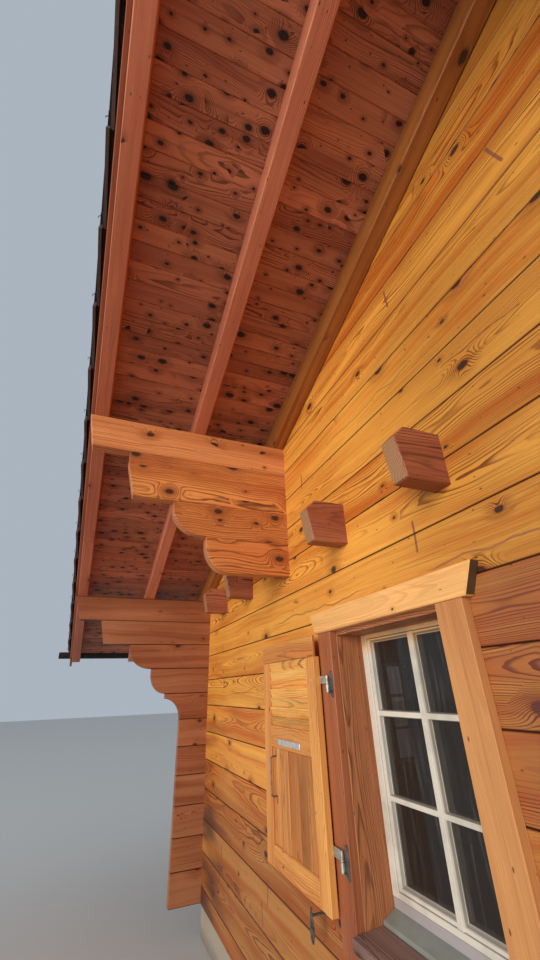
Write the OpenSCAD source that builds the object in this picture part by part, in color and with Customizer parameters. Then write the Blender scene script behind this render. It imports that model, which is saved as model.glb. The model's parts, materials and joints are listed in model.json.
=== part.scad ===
// Alpine chalet of squared logs on a low plinth, with corbelled purlins and a wide tiled roof.
// X runs across the gables, Y along the ridge with the front gable at -Y, Z up from the ground.

/* [Log walls] */
// Width over the outer faces of the side walls
house_w = 9040; // [8000:20:10400]
// Length over the outer faces of the two gables
house_l = 7200; // [6400:100:9000]
// Height of one log course
course_h = 200; // [190:2:210]
// Thickness of a squared log
log_t = 70; // [60:5:100]
// Number of whole courses in a side wall, under the eaves purlin
side_courses = 10; // [9:1:11]
// How far the crossed log ends stand past a corner
log_end = 240; // [160:10:320]
// Depth of the V joint between two logs
seam_d = 4; // [2:1:8]
// Thickness of insulation and panelling inside the logs
lining_t = 120; // [60:10:200]

/* [Base] */
// Height of the masonry plinth above the ground
plinth_h = 200; // [150:10:400]
// Set-back of the plinth face behind the logs
plinth_setback = 20; // [0:5:40]
// Thickness of the boarded ground floor
floor_t = 40; // [25:5:60]

/* [Roof] */
// Pitch of both roof slopes, in degrees
pitch = 20; // [16:1:24]
// Height of the rafter undersides at the middle of the side wall, above its top course
eave_seat = 191; // [180:1:196]
// Width of a rafter
rafter_w = 80; // [60:5:120]
// Depth of a rafter, square to the slope
rafter_d = 140; // [100:5:200]
// Rafters between the two gable walls
rafter_count = 11; // [7:1:15]
// Gap between a gable wall and the rafter along it
rafter_gap = 3; // [2:1:10]
// Distance of the middle overhang rafter's centre from the gable
rafter_mid = 590; // [500:1:700]
// Distance of the verge rafter's outer face from the gable
verge = 1218; // [1000:2:1500]
// Distance of the rafter tails from the side wall
eaves = 1220; // [900:10:1500]
// Thickness of the roof boards
board_t = 22; // [18:1:30]
// How far the roof boards pass the rafter tails
board_lip = 130; // [0:5:160]
// Thickness of a barge board
barge_t = 22; // [15:1:40]
// Height of a barge board, square to the slope
barge_h = 150; // [100:5:220]
// How far the tiles pass the barge boards
tile_verge = 46; // [20:2:60]
// How far the tiles pass the roof boards at the eaves
tile_eaves = 45; // [20:5:80]
// Horizontal exposure of one tile course
tile_step = 340; // [300:5:380]
// Thickness of the tile layer at the lower edge of a course
tile_thick = 62; // [50:1:90]
// Thickness of the tile layer at the upper edge of a course
tile_thin = 36; // [25:1:60]
// Thickness of the verge tiles' down-turned rim
rim_t = 16; // [10:1:20]
// How far that rim hangs below the top of the roof boards
rim_h = 50; // [20:5:90]
// Outer radius of the half-round ridge tiles
ridge_r = 115; // [90:5:150]
// Wall of a ridge tile
ridge_wall = 16; // [12:1:25]
// Length of one ridge tile
ridge_len = 410; // [330:5:480]
// Outer radius of the half-round gutters
gutter_r = 62; // [50:1:80]
// Wall of a gutter
gutter_wall = 3; // [2:0.5:6]
// Height of a gutter's lips above the underside of the roof boards' end
gutter_lift = 9; // [4:1:14]
// How far the gutters pass the tiles at the verges
gutter_over = 84; // [0:2:120]

/* [Purlins and corbels] */
// Width of the mid, ridge and eaves purlins
purlin_w = 76; // [60:2:100]
// Height of the mid and ridge purlins
purlin_h = 194; // [180:2:240]
// How far the purlins stand out from a gable
purlin_out = 1240; // [1236:2:1500]
// Distance of the mid purlins from the ridge
mid_purlin_x = 2611; // [2400:1:2900]
// Width of the corbel logs
corbel_w = 70; // [60:2:100]
// Reach of the long corbel log at its top edge
corbel_long = 990; // [900:5:1100]
// Set-back of the long corbel's lower edge
corbel_slant = 46; // [20:2:80]
// Reach of the middle corbel log
corbel_mid = 714; // [640:2:800]
// Reach of the short corbel log
corbel_short = 515; // [460:5:580]
// Height of the scroll at a corbel log's end
scroll_z = 160; // [120:5:180]
// Reach of the coved log under the corner corbels
cove_reach = 378; // [340:2:440]
// Height of the straight part over the cove
cove_top = 40; // [20:2:60]
// Points along one scrolled end
scroll_n = 12; // [6:1:20]
// Set-back of a mid or ridge purlin end's foot
purlin_rake = 40; // [20:1:80]
// Set-back of an eaves purlin end's foot
eaves_rake = 76; // [20:1:100]

/* [Ceiling joists] */
// Width of a joist
joist_w = 74; // [60:2:100]
// How far a joist end stands out from a gable
joist_out = 203; // [100:1:240]
// Set-back of a joist end's foot
joist_rake = 26; // [10:1:60]
// Bevel over a joist end
joist_bevel = 50; // [20:1:80]
// Spacing of the joists, counted from the mid purlin
joist_pitch = 646; // [600:2:650]

/* [Windows] */
// Distance of a gable window's centre from the ridge line
gable_window_x = 1776; // [1500:4:2000]
// Distance of a side window's centre from the middle of the wall
side_window_y = 1700; // [1400:20:2000]
// Clear width between the linings
win_w = 672; // [560:4:760]
// Height of the sill's top above the ground
sill_z = 856; // [800:2:900]
// Height of the lining's underside above the ground
head_z = 1820; // [1700:5:1900]
// Thickness of the window lining
reveal_t = 22; // [18:1:30]
// Depth from the log face to the painted frame
frame_in = 130; // [100:5:140]
// Width of the painted frame at its sides
frame_side = 56; // [40:2:70]
// Height of the painted frame over the glass
frame_top = 36; // [30:2:60]
// Height of the painted frame and ledge under the glass
frame_base = 110; // [90:2:140]
// Height of the ledge in front of the frame's bottom rail
ledge_h = 8; // [4:1:20]
// Where the ledge meets the wooden sill, from the log face
ledge_in = 76; // [60:2:100]
// Width of the upright between the two panes
mullion_w = 40; // [30:2:60]
// Thickness of the glass
glass_t = 6; // [4:1:24]
// Width of a casing board
casing_w = 112; // [90:2:130]
// Thickness of a casing board
casing_t = 33; // [25:1:40]
// Gap from the lining's face to the casing's edge
casing_back = 4; // [0:1:10]
// Height of the head casing
head_h = 96; // [80:2:120]
// How far the head casing stands past the side casings at its foot
head_over = 22; // [10:2:40]
// Slant of the head casing's ends
head_slant = 48; // [20:2:70]
// Extra thickness of the head casing
head_proud = 5; // [2:1:15]
// Gap from the lining's underside to the head casing
head_back = 20; // [10:1:30]
// How far the side casings run below the sill's top
casing_drop = 96; // [60:2:140]
// Thickness of the wooden sill at the log face
sill_t = 50; // [40:2:70]
// How far the sill stands out from the logs
sill_out = 60; // [45:5:90]
// Fall of the sill from the ledge to its nose
sill_fall = 10; // [4:1:16]

/* [Shutters] */
// Thickness of a shutter
leaf_t = 32; // [28:1:40]
// Clearance beside a closed shutter
leaf_gap = 20; // [8:1:24]
// Clearance between an open shutter and the casing face
leaf_clear = 9; // [6:1:12]
// Clearance over and under a shutter
leaf_play = 6; // [5:1:10]
// Distance of the hinge axis from the casing's inner edge
axis_in = 40; // [36:1:60]
// Distance of the hinge axis in front of the casing face
axis_out = 11; // [10:1:14]
// Width of a shutter stile
stile_w = 90; // [60:2:110]
// Height of the top rail
top_rail = 94; // [70:2:120]
// Height of the middle rail
mid_rail = 97; // [70:1:120]
// Height of the bottom rail
bottom_rail = 86; // [70:2:120]
// Height of the boarded lower field
panel_h = 398; // [300:2:480]
// Number of louvres
louvre_count = 7; // [5:1:10]
// Thickness of a louvre
louvre_t = 10; // [6:1:14]
// Lap of a louvre's foot behind the head of the next one
louvre_lap = 4; // [2:1:10]
// Thickness of the lower panel
panel_t = 20; // [14:1:28]
// Radius of the hinge pin
pin_r = 4; // [3:0.5:5]
// Radius of a hinge barrel
barrel_r = 7; // [6:0.5:8]
// Length of one hinge barrel
barrel_h = 44; // [30:2:60]
// Height of the lower hinges above the shutter's foot
hinge_low = 174; // [120:2:250]
// Depth of the upper hinges below the shutter's top
hinge_high = 210; // [140:2:250]
// Length of the bow handle
pull_h = 174; // [100:2:220]
// How far the bow handle stands out from the lower field
pull_out = 32; // [24:1:40]
// Distance from the free stile to the bow handle
pull_in = 44; // [20:2:80]
// Drop from the middle rail to the bow handle
pull_drop = 34; // [10:2:80]
// Length of the metal slot plate on the middle rail
plate_l = 256; // [100:2:300]
// Height of the metal slot plate
plate_h = 26; // [16:1:40]

/* [Door] */
// Width of the door leaf
door_w = 900; // [800:10:1000]
// Height of the door leaf above the floor
door_h = 1850; // [1780:10:1880]
// Thickness of the door leaf
door_t = 50; // [40:2:60]
// Thickness of the door lining
jamb_t = 40; // [30:2:50]
// Depth of the door leaf behind the log face
door_in = 60; // [40:5:100]

/* [Hidden] */

wood = "peru";
warm = "sienna";
cream = "ivory";
far = 40000;
// Gap between pieces that seat on each other
tiny = 0.3;
gutter_n = 12;

half_w = house_w / 2;
half_l = house_l / 2;
inner_w = half_w - log_t;
inner_l = half_l - log_t;
room_w = inner_w - lining_t;
room_l = inner_l - lining_t;
side_mid = half_w - log_t / 2;
side_top = plinth_h + side_courses * course_h;
half_course = course_h / 2;
slope = tan(pitch);
rise = 1 / cos(pitch);

tail_x = half_w + eaves;
boards_x = tail_x + board_lip;
tiles_x = boards_x + tile_eaves;
barge_y = half_l + verge + barge_t;
tiles_y = barge_y + tile_verge;

joist_z = side_top;
joists_in = floor((mid_purlin_x - joist_w) / joist_pitch);
joists_out = floor((room_w - joist_w - mid_purlin_x) / joist_pitch);
joist_x = [for (k = [-joists_in:joists_out]) if (k != 0) mid_purlin_x + k * joist_pitch];

// Heights of the roof's layers over a distance from the ridge
function rafter_under(x) = side_top + eave_seat + slope * (side_mid - abs(x));
function rafter_over(x) = rafter_under(x) + rafter_d * rise;
function board_over(x) = rafter_over(x) + (tiny + board_t) * rise;

// Foot of the purlin over a distance from the ridge, and the seam of the log under it
function purlin_foot(x) = rafter_under(x) - purlin_h;
function log_under(z) = plinth_h + course_h * floor((z - plinth_h) / course_h);

// Extrudes an outline drawn in X and Z from y0 to y1
module along_y(y0, y1) {
    translate([0, y1, 0]) rotate([90, 0, 0]) linear_extrude(y1 - y0) children();
}

// Extrudes an outline drawn in Y and Z from x0 to x1
module along_x(x0, x1) {
    translate([x0, 0, 0]) rotate([90, 0, 90]) linear_extrude(x1 - x0) children();
}

module box(x, y, z) {
    translate([x[0], y[0], z[0]]) cube([x[1] - x[0], y[1] - y[0], z[1] - z[0]]);
}

module both_sides() {
    children();
    mirror([1, 0, 0]) children();
}

module both_ends() {
    children();
    mirror([0, 1, 0]) children();
}

// Band between two roof planes, from the ridge to a distance, on the right slope
module slope_band(reach, low, high) {
    polygon([[0, rafter_under(0) + low * rise], [reach, rafter_under(reach) + low * rise],
             [reach, rafter_under(reach) + high * rise], [0, rafter_under(0) + high * rise]]);
}

// V cuts along X or Y at a log seam
module seam(u, z) {
    polygon([[u - seam_d, z], [u, z - seam_d], [u + seam_d, z], [u, z + seam_d]]);
}
module groove_x(x0, x1, y, z) {
    along_x(x0, x1) seam(y, z);
}
module groove_y(y0, y1, x, z) {
    along_y(y0, y1) seam(x, z);
}

// Ends of the crossed logs: a scroll runs from a log's reach to that of the log below it
function scroll(reach, next, z) = [for (k = [0:scroll_n]) let (a = 90 * k / scroll_n)
    [reach - (reach - next) * (1 - cos(a)), z + scroll_z * (1 - sin(a))]];
function cove(reach, foot, z) = concat([[reach, z + course_h - cove_top]],
    [for (k = [0:scroll_n]) let (a = 90 * k / scroll_n)
        [foot + (reach - foot) * (1 - sin(a)), z + (course_h - cove_top) * cos(a)]]);

// Outline of the stepped corbel's nose, from its long log down, as reach and height
function corbel_nose(z) = concat(
    [[corbel_long, z], [corbel_long - corbel_slant, z - course_h], [corbel_mid, z - course_h]],
    scroll(corbel_mid, corbel_short, z - 2 * course_h),
    scroll(corbel_short, cove_reach, z - 3 * course_h));

// Side wall: one outline with the scrolled corner logs, grooved, notched and pierced
module side_outline() {
    nose = concat(corbel_nose(side_top), cove(cove_reach, log_end, side_top - 4 * course_h),
                  [[log_end, plinth_h]]);
    polygon(concat([for (p = nose) [half_l + p[0], p[1]]],
                   [for (k = [len(nose) - 1:-1:0]) [-half_l - nose[k][0], nose[k][1]]]));
}

// Windows: every opening is drawn round the middle of its outer log face, facing -Y
hole_x = win_w / 2 + reveal_t;
sill_foot = sill_z - sill_t;
casing_x = win_w / 2 + casing_back;
casing_head = head_z + head_back;

module on_front() { translate([0, -half_l, 0]) children(); }
module on_back() { rotate([0, 0, 180]) translate([0, -half_l, 0]) children(); }
module on_left() { rotate([0, 0, -90]) translate([0, -half_w, 0]) children(); }
module on_right() { rotate([0, 0, 90]) translate([0, -half_w, 0]) children(); }
module window_pair(distance) {
    both_sides() translate([-distance, 0, 0]) children();
}
module front_windows() { on_front() window_pair(gable_window_x) children(); }
module back_windows() { on_back() window_pair(gable_window_x) children(); }
module side_windows() {
    on_left() window_pair(side_window_y) children();
    on_right() window_pair(side_window_y) children();
}

module window_hole() {
    box([-hole_x, hole_x], [-1, log_t + lining_t + 1], [sill_foot, head_z + reveal_t]);
}

module side_wall() {
    difference() {
        along_x(inner_w, half_w) side_outline();
        for (k = [1:side_courses - 1], x = [inner_w, half_w])
            groove_y(-half_l - corbel_long - 1, half_l + corbel_long + 1, x, plinth_h + k * course_h);
        both_ends() for (k = [1:side_courses - 4])
            groove_x(inner_w - 1, half_w + 1, -half_l - log_end, plinth_h + k * course_h);
        both_ends() corner_notches(0);
    }
}

// Notches of the cross-lap: a quarter of the height from above and below each log
module corner_notches(first) {
    for (k = [0:side_courses]) {
        low = plinth_h + k * course_h + (first - 0.25) * course_h;
        box([inner_w - 1, half_w + 1], [-half_l, -inner_l],
            [max(low, plinth_h - 1), min(low + half_course, side_top + half_course)]);
    }
}

module gable_outline() {
    end_x = half_w + log_end;
    top = side_top + half_course;
    polygon([[-end_x, plinth_h], [end_x, plinth_h], [end_x, top], [half_w, top],
             [half_w, rafter_over(half_w)], [0, rafter_over(0)], [-half_w, rafter_over(half_w)],
             [-half_w, top], [-end_x, top]]);
}

module gable_wall() {
    top_seam = floor((rafter_over(0) - plinth_h - half_course) / course_h);
    difference() {
        along_y(-half_l, -inner_l) gable_outline();
        for (k = [0:top_seam])
            groove_x(-half_w - log_end - 1, half_w + log_end + 1, -half_l,
                     plinth_h + half_course + k * course_h);
        both_sides() for (k = [0:side_courses - 1]) {
            z = plinth_h + half_course + k * course_h;
            groove_x(half_w, half_w + log_end + 1, -inner_l, z);
            groove_y(-half_l - 1, -inner_l + 1, half_w + log_end, z);
        }
        both_sides() intersection() {
            corner_notches(0.5);
            box([inner_w, half_w], [-far, far], [0, side_top]);
        }
        roof_timber_cuts();
        front_windows() window_hole();
    }
}

// What passes through a gable: purlins, corbels and joists
module roof_timber_cuts() {
    eave_purlin_solids();
    purlin_solids();
    joist_solids();
    corbel_solids();
}

module corbel_stack(x, foot) {
    top = log_under(foot);
    nose = corbel_nose(top);
    difference() {
        along_x(x - corbel_w / 2, x + corbel_w / 2)
            polygon(concat([[-inner_l, top - 3 * course_h], [-inner_l, foot], [-half_l - corbel_long, foot]],
                           [for (p = nose) [-half_l - p[0], p[1]]]));
        for (side = [-1, 1], k = [0:2])
            groove_y(-half_l - corbel_long - 1, -half_l, x + side * corbel_w / 2, top - k * course_h);
    }
}

module corbel_solids() {
    both_sides() corbel_stack(mid_purlin_x, purlin_foot(mid_purlin_x));
    corbel_stack(0, purlin_foot(0));
}

// Wedges that stand back the foot of a purlin at both ends
purlin_y = half_l + purlin_out;
module end_wedges(x, foot, rake) {
    both_ends() along_x(x - purlin_w, x + purlin_w)
        polygon([[purlin_y - rake, foot - 1], [purlin_y - rake, foot],
                 [purlin_y + 1, foot + purlin_h + 20], [purlin_y + 1, foot - 1]]);
}

module purlin_bar(x) {
    w = purlin_w / 2;
    difference() {
        along_y(-purlin_y, purlin_y)
            polygon([[x - w, purlin_foot(x)], [x + w, purlin_foot(x)], [x + w, rafter_under(x + w)],
                     [x, rafter_under(x)], [x - w, rafter_under(x - w)]]);
        end_wedges(x, purlin_foot(x), purlin_rake);
    }
}

module purlin_solids() {
    both_sides() purlin_bar(mid_purlin_x);
    purlin_bar(0);
}

module eave_purlin_solids() {
    both_sides() difference() {
        along_y(-purlin_y, purlin_y)
            polygon([[inner_w, side_top], [half_w, side_top],
                     [half_w, rafter_under(half_w)], [inner_w, rafter_under(inner_w)]]);
        both_ends() box([inner_w - 1, half_w + 1], [-half_l, -inner_l],
                        [side_top - 1, side_top + half_course / 2]);
        end_wedges(side_mid, side_top, eaves_rake);
    }
}

module joist_solids() {
    y = half_l + joist_out;
    top = joist_z + course_h;
    both_sides() for (x = joist_x) along_x(x - joist_w / 2, x + joist_w / 2)
        polygon([[joist_rake - y, joist_z], [y - joist_rake, joist_z], [y, top - joist_bevel],
                 [y - joist_bevel, top], [joist_bevel - y, top], [-y, top - joist_bevel]]);
}

// Inner linings stand on the plinth inside the logs
module gable_lining() {
    difference() {
        along_y(-inner_l, -room_l) polygon([[-inner_w, plinth_h], [inner_w, plinth_h],
            [inner_w, rafter_over(inner_w)], [0, rafter_over(0)], [-inner_w, rafter_over(inner_w)]]);
        purlin_solids();
        joist_solids();
        front_windows() window_hole();
    }
}

module side_lining() {
    difference() {
        along_y(-room_l, room_l) polygon([[room_w, plinth_h], [inner_w, plinth_h],
            [inner_w, rafter_under(inner_w) - tiny], [room_w, rafter_under(room_w) - tiny]]);
        side_windows() window_hole();
    }
}

// One slope's rafters: verge, middle and wall rafters at both ends, the rest at even spacing
rafter_y = concat([half_l + verge - rafter_w / 2, half_l + rafter_mid, half_l + rafter_gap + rafter_w / 2],
    [for (k = [1:(rafter_count - 1) / 2]) k * house_l / (rafter_count + 1)]);

module rafters() {
    for (y = concat([0], rafter_y, -rafter_y))
        along_y(y - rafter_w / 2, y + rafter_w / 2) slope_band(tail_x, 0, rafter_d);
}

module roof_boards() {
    low = rafter_d + tiny;
    along_y(-half_l - verge, half_l + verge) slope_band(boards_x, low, low + board_t);
}

module barge_board() {
    top = rafter_d + tiny + board_t;
    along_y(half_l + verge, barge_y) slope_band(boards_x, top - barge_h, top);
}

// Tile courses as one stepped layer on the boards
courses = round(tiles_x / tile_step);
course_run = tiles_x / courses;

module tile_layer() {
    steps = [for (k = [courses:-1:1]) let (low = k * course_run, high = low - course_run)
        each [[low, board_over(low) + tile_thick], [high, board_over(high) + tile_thin]]];
    along_y(-tiles_y, tiles_y)
        polygon(concat([[0, board_over(0) + tiny], [tiles_x, board_over(tiles_x) + tiny]], steps));
    both_ends() along_y(tiles_y - rim_t, tiles_y)
        polygon([[0, board_over(0) - rim_h], [boards_x, board_over(boards_x) - rim_h],
                 [boards_x, board_over(boards_x) + 1], [0, board_over(0) + 1]]);
}

// Gutter: a half-round channel with closed ends, its back lip at the end of the roof boards
gutter_y = tiles_y + gutter_over;
gutter_x = boards_x + tiny + gutter_r;
gutter_z = board_over(boards_x) - board_t * rise + gutter_lift;
function half_round(r) = [for (k = [0:gutter_n]) let (a = 180 + 180 * k / gutter_n)
    [gutter_x + r * cos(a), gutter_z + r * sin(a)]];

module gutter() {
    inner = half_round(gutter_r - gutter_wall);
    along_y(-gutter_y, gutter_y)
        polygon(concat(half_round(gutter_r), [for (k = [gutter_n:-1:0]) inner[k]]));
    both_ends() along_y(gutter_y - gutter_wall, gutter_y) polygon(half_round(gutter_r));
}

module ridge_row() {
    seat = board_over(0) + tile_thin + tiny;
    side = board_over(course_run) + tile_thick + tiny;
    count = ceil(2 * tiles_y / ridge_len);
    step = 2 * tiles_y / count;
    translate([0, tiles_y, 0]) difference() {
        translate([0, 0, seat - slope * ridge_r]) rotate([90, 0, 0]) difference() {
            union() {
                cylinder(r = ridge_r, h = 2 * tiles_y, $fn = 48);
                for (k = [0:count - 1]) translate([0, 0, k * step])
                    cylinder(r = ridge_r + ridge_wall / 2, h = step / 6, $fn = 48);
            }
            translate([0, 0, -1]) cylinder(r = ridge_r - ridge_wall, h = 2 * tiles_y + 2, $fn = 48);
        }
        along_y(-2 * tiles_y - 1, 1) polygon([[0, seat], [course_run, side],
            [course_run, 0], [-course_run, 0], [-course_run, side]]);
    }
}

module window_lining() {
    difference() {
        box([-hole_x, hole_x], [0, log_t + lining_t], [sill_foot, head_z + reveal_t]);
        box([-win_w / 2, win_w / 2], [-1, log_t + lining_t + 1], [sill_foot - 1, head_z]);
    }
}

module window_casing() {
    head_x = casing_x + casing_w + head_over;
    both_sides() box([casing_x, casing_x + casing_w], [-casing_t, 0], [sill_z - casing_drop, casing_head]);
    box([-casing_x, casing_x], [-casing_t, 0], [sill_z - casing_drop, sill_foot]);
    along_y(-casing_t - head_proud, 0) polygon([[-head_x, casing_head], [head_x, casing_head],
        [head_x + head_slant, casing_head + head_h], [-head_x - head_slant, casing_head + head_h]]);
}

// Painted frame with the ledge in front of its bottom rail
glass_z = [sill_z + frame_base, head_z - frame_top];
glass_x = [mullion_w / 2, win_w / 2 - frame_side];

module window_frame() {
    difference() {
        box([-win_w / 2, win_w / 2], [frame_in, log_t + lining_t], [sill_foot, head_z]);
        both_sides() box(glass_x, [frame_in - 1, log_t + lining_t + 1], glass_z);
    }
    box([-win_w / 2, win_w / 2], [ledge_in, frame_in], [sill_foot, sill_z + ledge_h]);
}

module window_glass() {
    both_sides() box(glass_x, [frame_in + 20, frame_in + 20 + glass_t], glass_z);
}

module window_sill() {
    along_x(-win_w / 2, win_w / 2) polygon([[-sill_out, sill_foot], [ledge_in, sill_foot],
        [ledge_in, sill_z], [-sill_out, sill_z - sill_fall]]);
}

// Shutter leaf as it hangs open, left of the window: local origin on the hinge axis
axis_x = casing_x + axis_in;
axis_y = casing_t + axis_out;
leaf_w = 2 * (casing_x - leaf_gap);
leaf_edge = axis_x - leaf_w / 2;
leaf_z = [sill_z, casing_head - leaf_play];
leaf_y = [-casing_t - leaf_clear - leaf_t, -casing_t - leaf_clear];
open_x = [-axis_x - leaf_edge - leaf_w, -axis_x - leaf_edge];
field_x = [open_x[0] + stile_w, open_x[1] - stile_w];
panel_z = [leaf_z[0] + bottom_rail, leaf_z[0] + bottom_rail + panel_h];
louvre_z = [panel_z[1] + mid_rail, leaf_z[1] - top_rail];
hinge_z = [leaf_z[0] + hinge_low, leaf_z[1] - hinge_high];

module leaf_frame() {
    difference() {
        box(open_x, leaf_y, leaf_z);
        box(field_x, [leaf_y[0] - 1, leaf_y[1] + 1], panel_z);
        box(field_x, [leaf_y[0] - 1, leaf_y[1] + 1], louvre_z);
    }
}

// Louvres lean towards the leaf's inner face, each foot behind the head of the one below
module leaf_louvres() {
    step = (louvre_z[1] - louvre_z[0]) / louvre_count;
    head = leaf_y[0] + 4;
    foot = head + louvre_t + 2;
    for (k = [0:louvre_count - 1]) {
        low = louvre_z[0] + k * step - (k > 0 ? louvre_lap : 0);
        high = louvre_z[0] + (k + 1) * step;
        along_x(field_x[0], field_x[1])
            polygon([[foot, low], [foot + louvre_t, low], [head + louvre_t, high], [head, high]]);
    }
}

module leaf_panel() {
    mid_y = (leaf_y[0] + leaf_y[1]) / 2;
    box(field_x, [mid_y - panel_t / 2, mid_y + panel_t / 2], panel_z);
}

// Lift-off hinges: the sleeve and its arm hang on the leaf, the barrel and pin on the casing
module leaf_fittings() {
    for (z = hinge_z) {
        difference() {
            union() {
                translate([-axis_x, -axis_y, z]) cylinder(r = barrel_r, h = barrel_h, $fn = 32);
                box([open_x[1], -axis_x], [-axis_y - 3, -axis_y + 3], [z, z + barrel_h]);
                box([open_x[1], open_x[1] + 4], [leaf_y[0] + 3, leaf_y[1] - 3], [z - 20, z + barrel_h + 20]);
            }
            translate([-axis_x, -axis_y, z - 1]) cylinder(r = pin_r + 0.08, h = barrel_h + 2, $fn = 32);
        }
    }
}

module fixed_barrels() {
    for (z = hinge_z) {
        translate([-axis_x, -axis_y, z - tiny - barrel_h]) cylinder(r = barrel_r, h = barrel_h, $fn = 32);
        translate([-axis_x, -axis_y, z - tiny - 1]) cylinder(r = pin_r, h = barrel_h, $fn = 32);
        box([-axis_x + barrel_r + 1, -casing_x - 6], [-casing_t - 3, -casing_t], [z - 66, z + 66]);
        box([-axis_x, -axis_x + barrel_r + 2], [-axis_y, -casing_t], [z - barrel_h, z - tiny]);
    }
}

// Bow handle on the lower field and slot plate on the middle rail
module pull_handle() {
    r = 4;
    face = (leaf_y[0] + leaf_y[1] - panel_t) / 2;
    top = panel_z[1] - pull_drop;
    translate([field_x[0] + pull_in, 0, top - pull_h]) {
        for (z = [r, pull_h - r]) translate([0, face, z]) rotate([90, 0, 0])
            cylinder(r = r, h = pull_out, $fn = 24);
        translate([0, face - pull_out, 0]) cylinder(r = r, h = pull_h, $fn = 24);
    }
}

module slot_plate() {
    mid_x = (field_x[0] + field_x[1]) / 2;
    box([mid_x - plate_l / 2, mid_x + plate_l / 2], [leaf_y[0] - 3, leaf_y[0]],
        [panel_z[1] + plate_h, panel_z[1] + 2 * plate_h]);
}

module leaf_all() {
    leaf_frame();
    leaf_louvres();
    leaf_panel();
}

module shutter_place() {
    translate([-gable_window_x, -half_l, 0]) children();
}

// The seven other shutters stand open as well
module other_shutters() {
    on_front() translate([gable_window_x, 0, 0]) mirror([1, 0, 0]) children();
    back_windows() children();
    side_windows() children();
}

door_x = door_w / 2;
door_z = [plinth_h + floor_t, plinth_h + floor_t + door_h];
module door_hole() {
    box([-door_x - jamb_t, door_x + jamb_t], [-1, log_t + lining_t + 1], [plinth_h - 1, door_z[1] + jamb_t]);
}

module door_surround() {
    difference() {
        union() {
            box([-door_x - jamb_t, door_x + jamb_t], [0, log_t + lining_t], [plinth_h, door_z[1] + jamb_t]);
            box([-door_x - casing_w, door_x + casing_w], [-casing_t, 0], [plinth_h, door_z[1] + casing_w]);
        }
        box([-door_x, door_x], [-casing_t - 1, log_t + lining_t + 1], [door_z[0], door_z[1]]);
    }
}

// Named sub-parts

module plinth() color("silver") {
    w = half_w - plinth_setback;
    l = half_l - plinth_setback;
    box([-w, w], [-l, l], [0, plinth_h]);
}
module ground_floor() color("tan")
    box([-room_w, room_w], [-room_l, room_l], [plinth_h, plinth_h + floor_t]);
module front_wall() color(wood) gable_wall();
module back_wall() color(wood) difference() {
    mirror([0, 1, 0]) gable_wall();
    on_back() door_hole();
}
module left_wall() color(wood) difference() {
    mirror([1, 0, 0]) side_wall();
    side_windows() window_hole();
}
module right_wall() color(wood) difference() {
    side_wall();
    side_windows() window_hole();
}
module front_lining() color("tan") gable_lining();
module back_lining() color("tan") difference() {
    mirror([0, 1, 0]) gable_lining();
    on_back() door_hole();
}
module left_lining() color("tan") mirror([1, 0, 0]) side_lining();
module right_lining() color("tan") side_lining();
module front_corbels() color(wood) corbel_solids();
module back_corbels() color(wood) mirror([0, 1, 0]) corbel_solids();
module eave_purlins() color(wood) eave_purlin_solids();
module mid_purlins() color(wood) both_sides() purlin_bar(mid_purlin_x);
module ridge_purlin() color(wood) purlin_bar(0);
module ceiling_joists() color(warm) joist_solids();
module left_rafters() color(warm) mirror([1, 0, 0]) rafters();
module right_rafters() color(warm) rafters();
module left_roof_boards() color(warm) mirror([1, 0, 0]) roof_boards();
module right_roof_boards() color(warm) roof_boards();
module barge_boards() color(warm) both_ends() both_sides() barge_board();
module left_roof_tiles() color("dimgray") mirror([1, 0, 0]) {
    tile_layer();
    gutter();
}
module right_roof_tiles() color("dimgray") {
    tile_layer();
    gutter();
}
module ridge_tiles() color("dimgray") ridge_row();
module front_window_casings() color(wood) front_windows() window_casing();
module front_window_linings() color(warm) front_windows() window_lining();
module front_window_frames() color(cream) front_windows() window_frame();
module front_window_glass() color("lightblue") front_windows() window_glass();
module back_window_casings() color(wood) back_windows() window_casing();
module back_window_linings() color(warm) back_windows() window_lining();
module back_window_frames() color(cream) back_windows() window_frame();
module back_window_glass() color("lightblue") back_windows() window_glass();
module side_window_casings() color(wood) side_windows() window_casing();
module side_window_linings() color(warm) side_windows() window_lining();
module side_window_frames() color(cream) side_windows() window_frame();
module side_window_glass() color("lightblue") side_windows() window_glass();
module window_sills() color("rosybrown") {
    front_windows() window_sill();
    back_windows() window_sill();
    side_windows() window_sill();
}
module shutter_frame() color(wood) shutter_place() leaf_frame();
module shutter_louvres() color(wood) shutter_place() leaf_louvres();
module shutter_panel() color(wood) shutter_place() leaf_panel();
module shutter_fittings() color("silver") shutter_place() {
    leaf_fittings();
    pull_handle();
    slot_plate();
}
module hinge_pins() color("silver") {
    shutter_place() fixed_barrels();
    other_shutters() fixed_barrels();
}
module fixed_shutters() color(wood) other_shutters() {
    leaf_all();
    leaf_fittings();
}
module door_frame() color(warm) on_back() door_surround();
module door_leaf() color(wood) on_back()
    box([-door_x, door_x], [door_in, door_in + door_t], door_z);

plinth();
ground_floor();
front_wall();
back_wall();
left_wall();
right_wall();
front_lining();
back_lining();
left_lining();
right_lining();
front_corbels();
back_corbels();
eave_purlins();
mid_purlins();
ridge_purlin();
ceiling_joists();
left_rafters();
right_rafters();
left_roof_boards();
right_roof_boards();
barge_boards();
left_roof_tiles();
right_roof_tiles();
ridge_tiles();
front_window_casings();
front_window_linings();
front_window_frames();
front_window_glass();
back_window_casings();
back_window_linings();
back_window_frames();
back_window_glass();
side_window_casings();
side_window_linings();
side_window_frames();
side_window_glass();
window_sills();
shutter_frame();
shutter_louvres();
shutter_panel();
shutter_fittings();
hinge_pins();
fixed_shutters();
door_frame();
door_leaf();
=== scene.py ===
"""Looks of the alpine log chalet: woods, roof tiles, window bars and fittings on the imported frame."""

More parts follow.
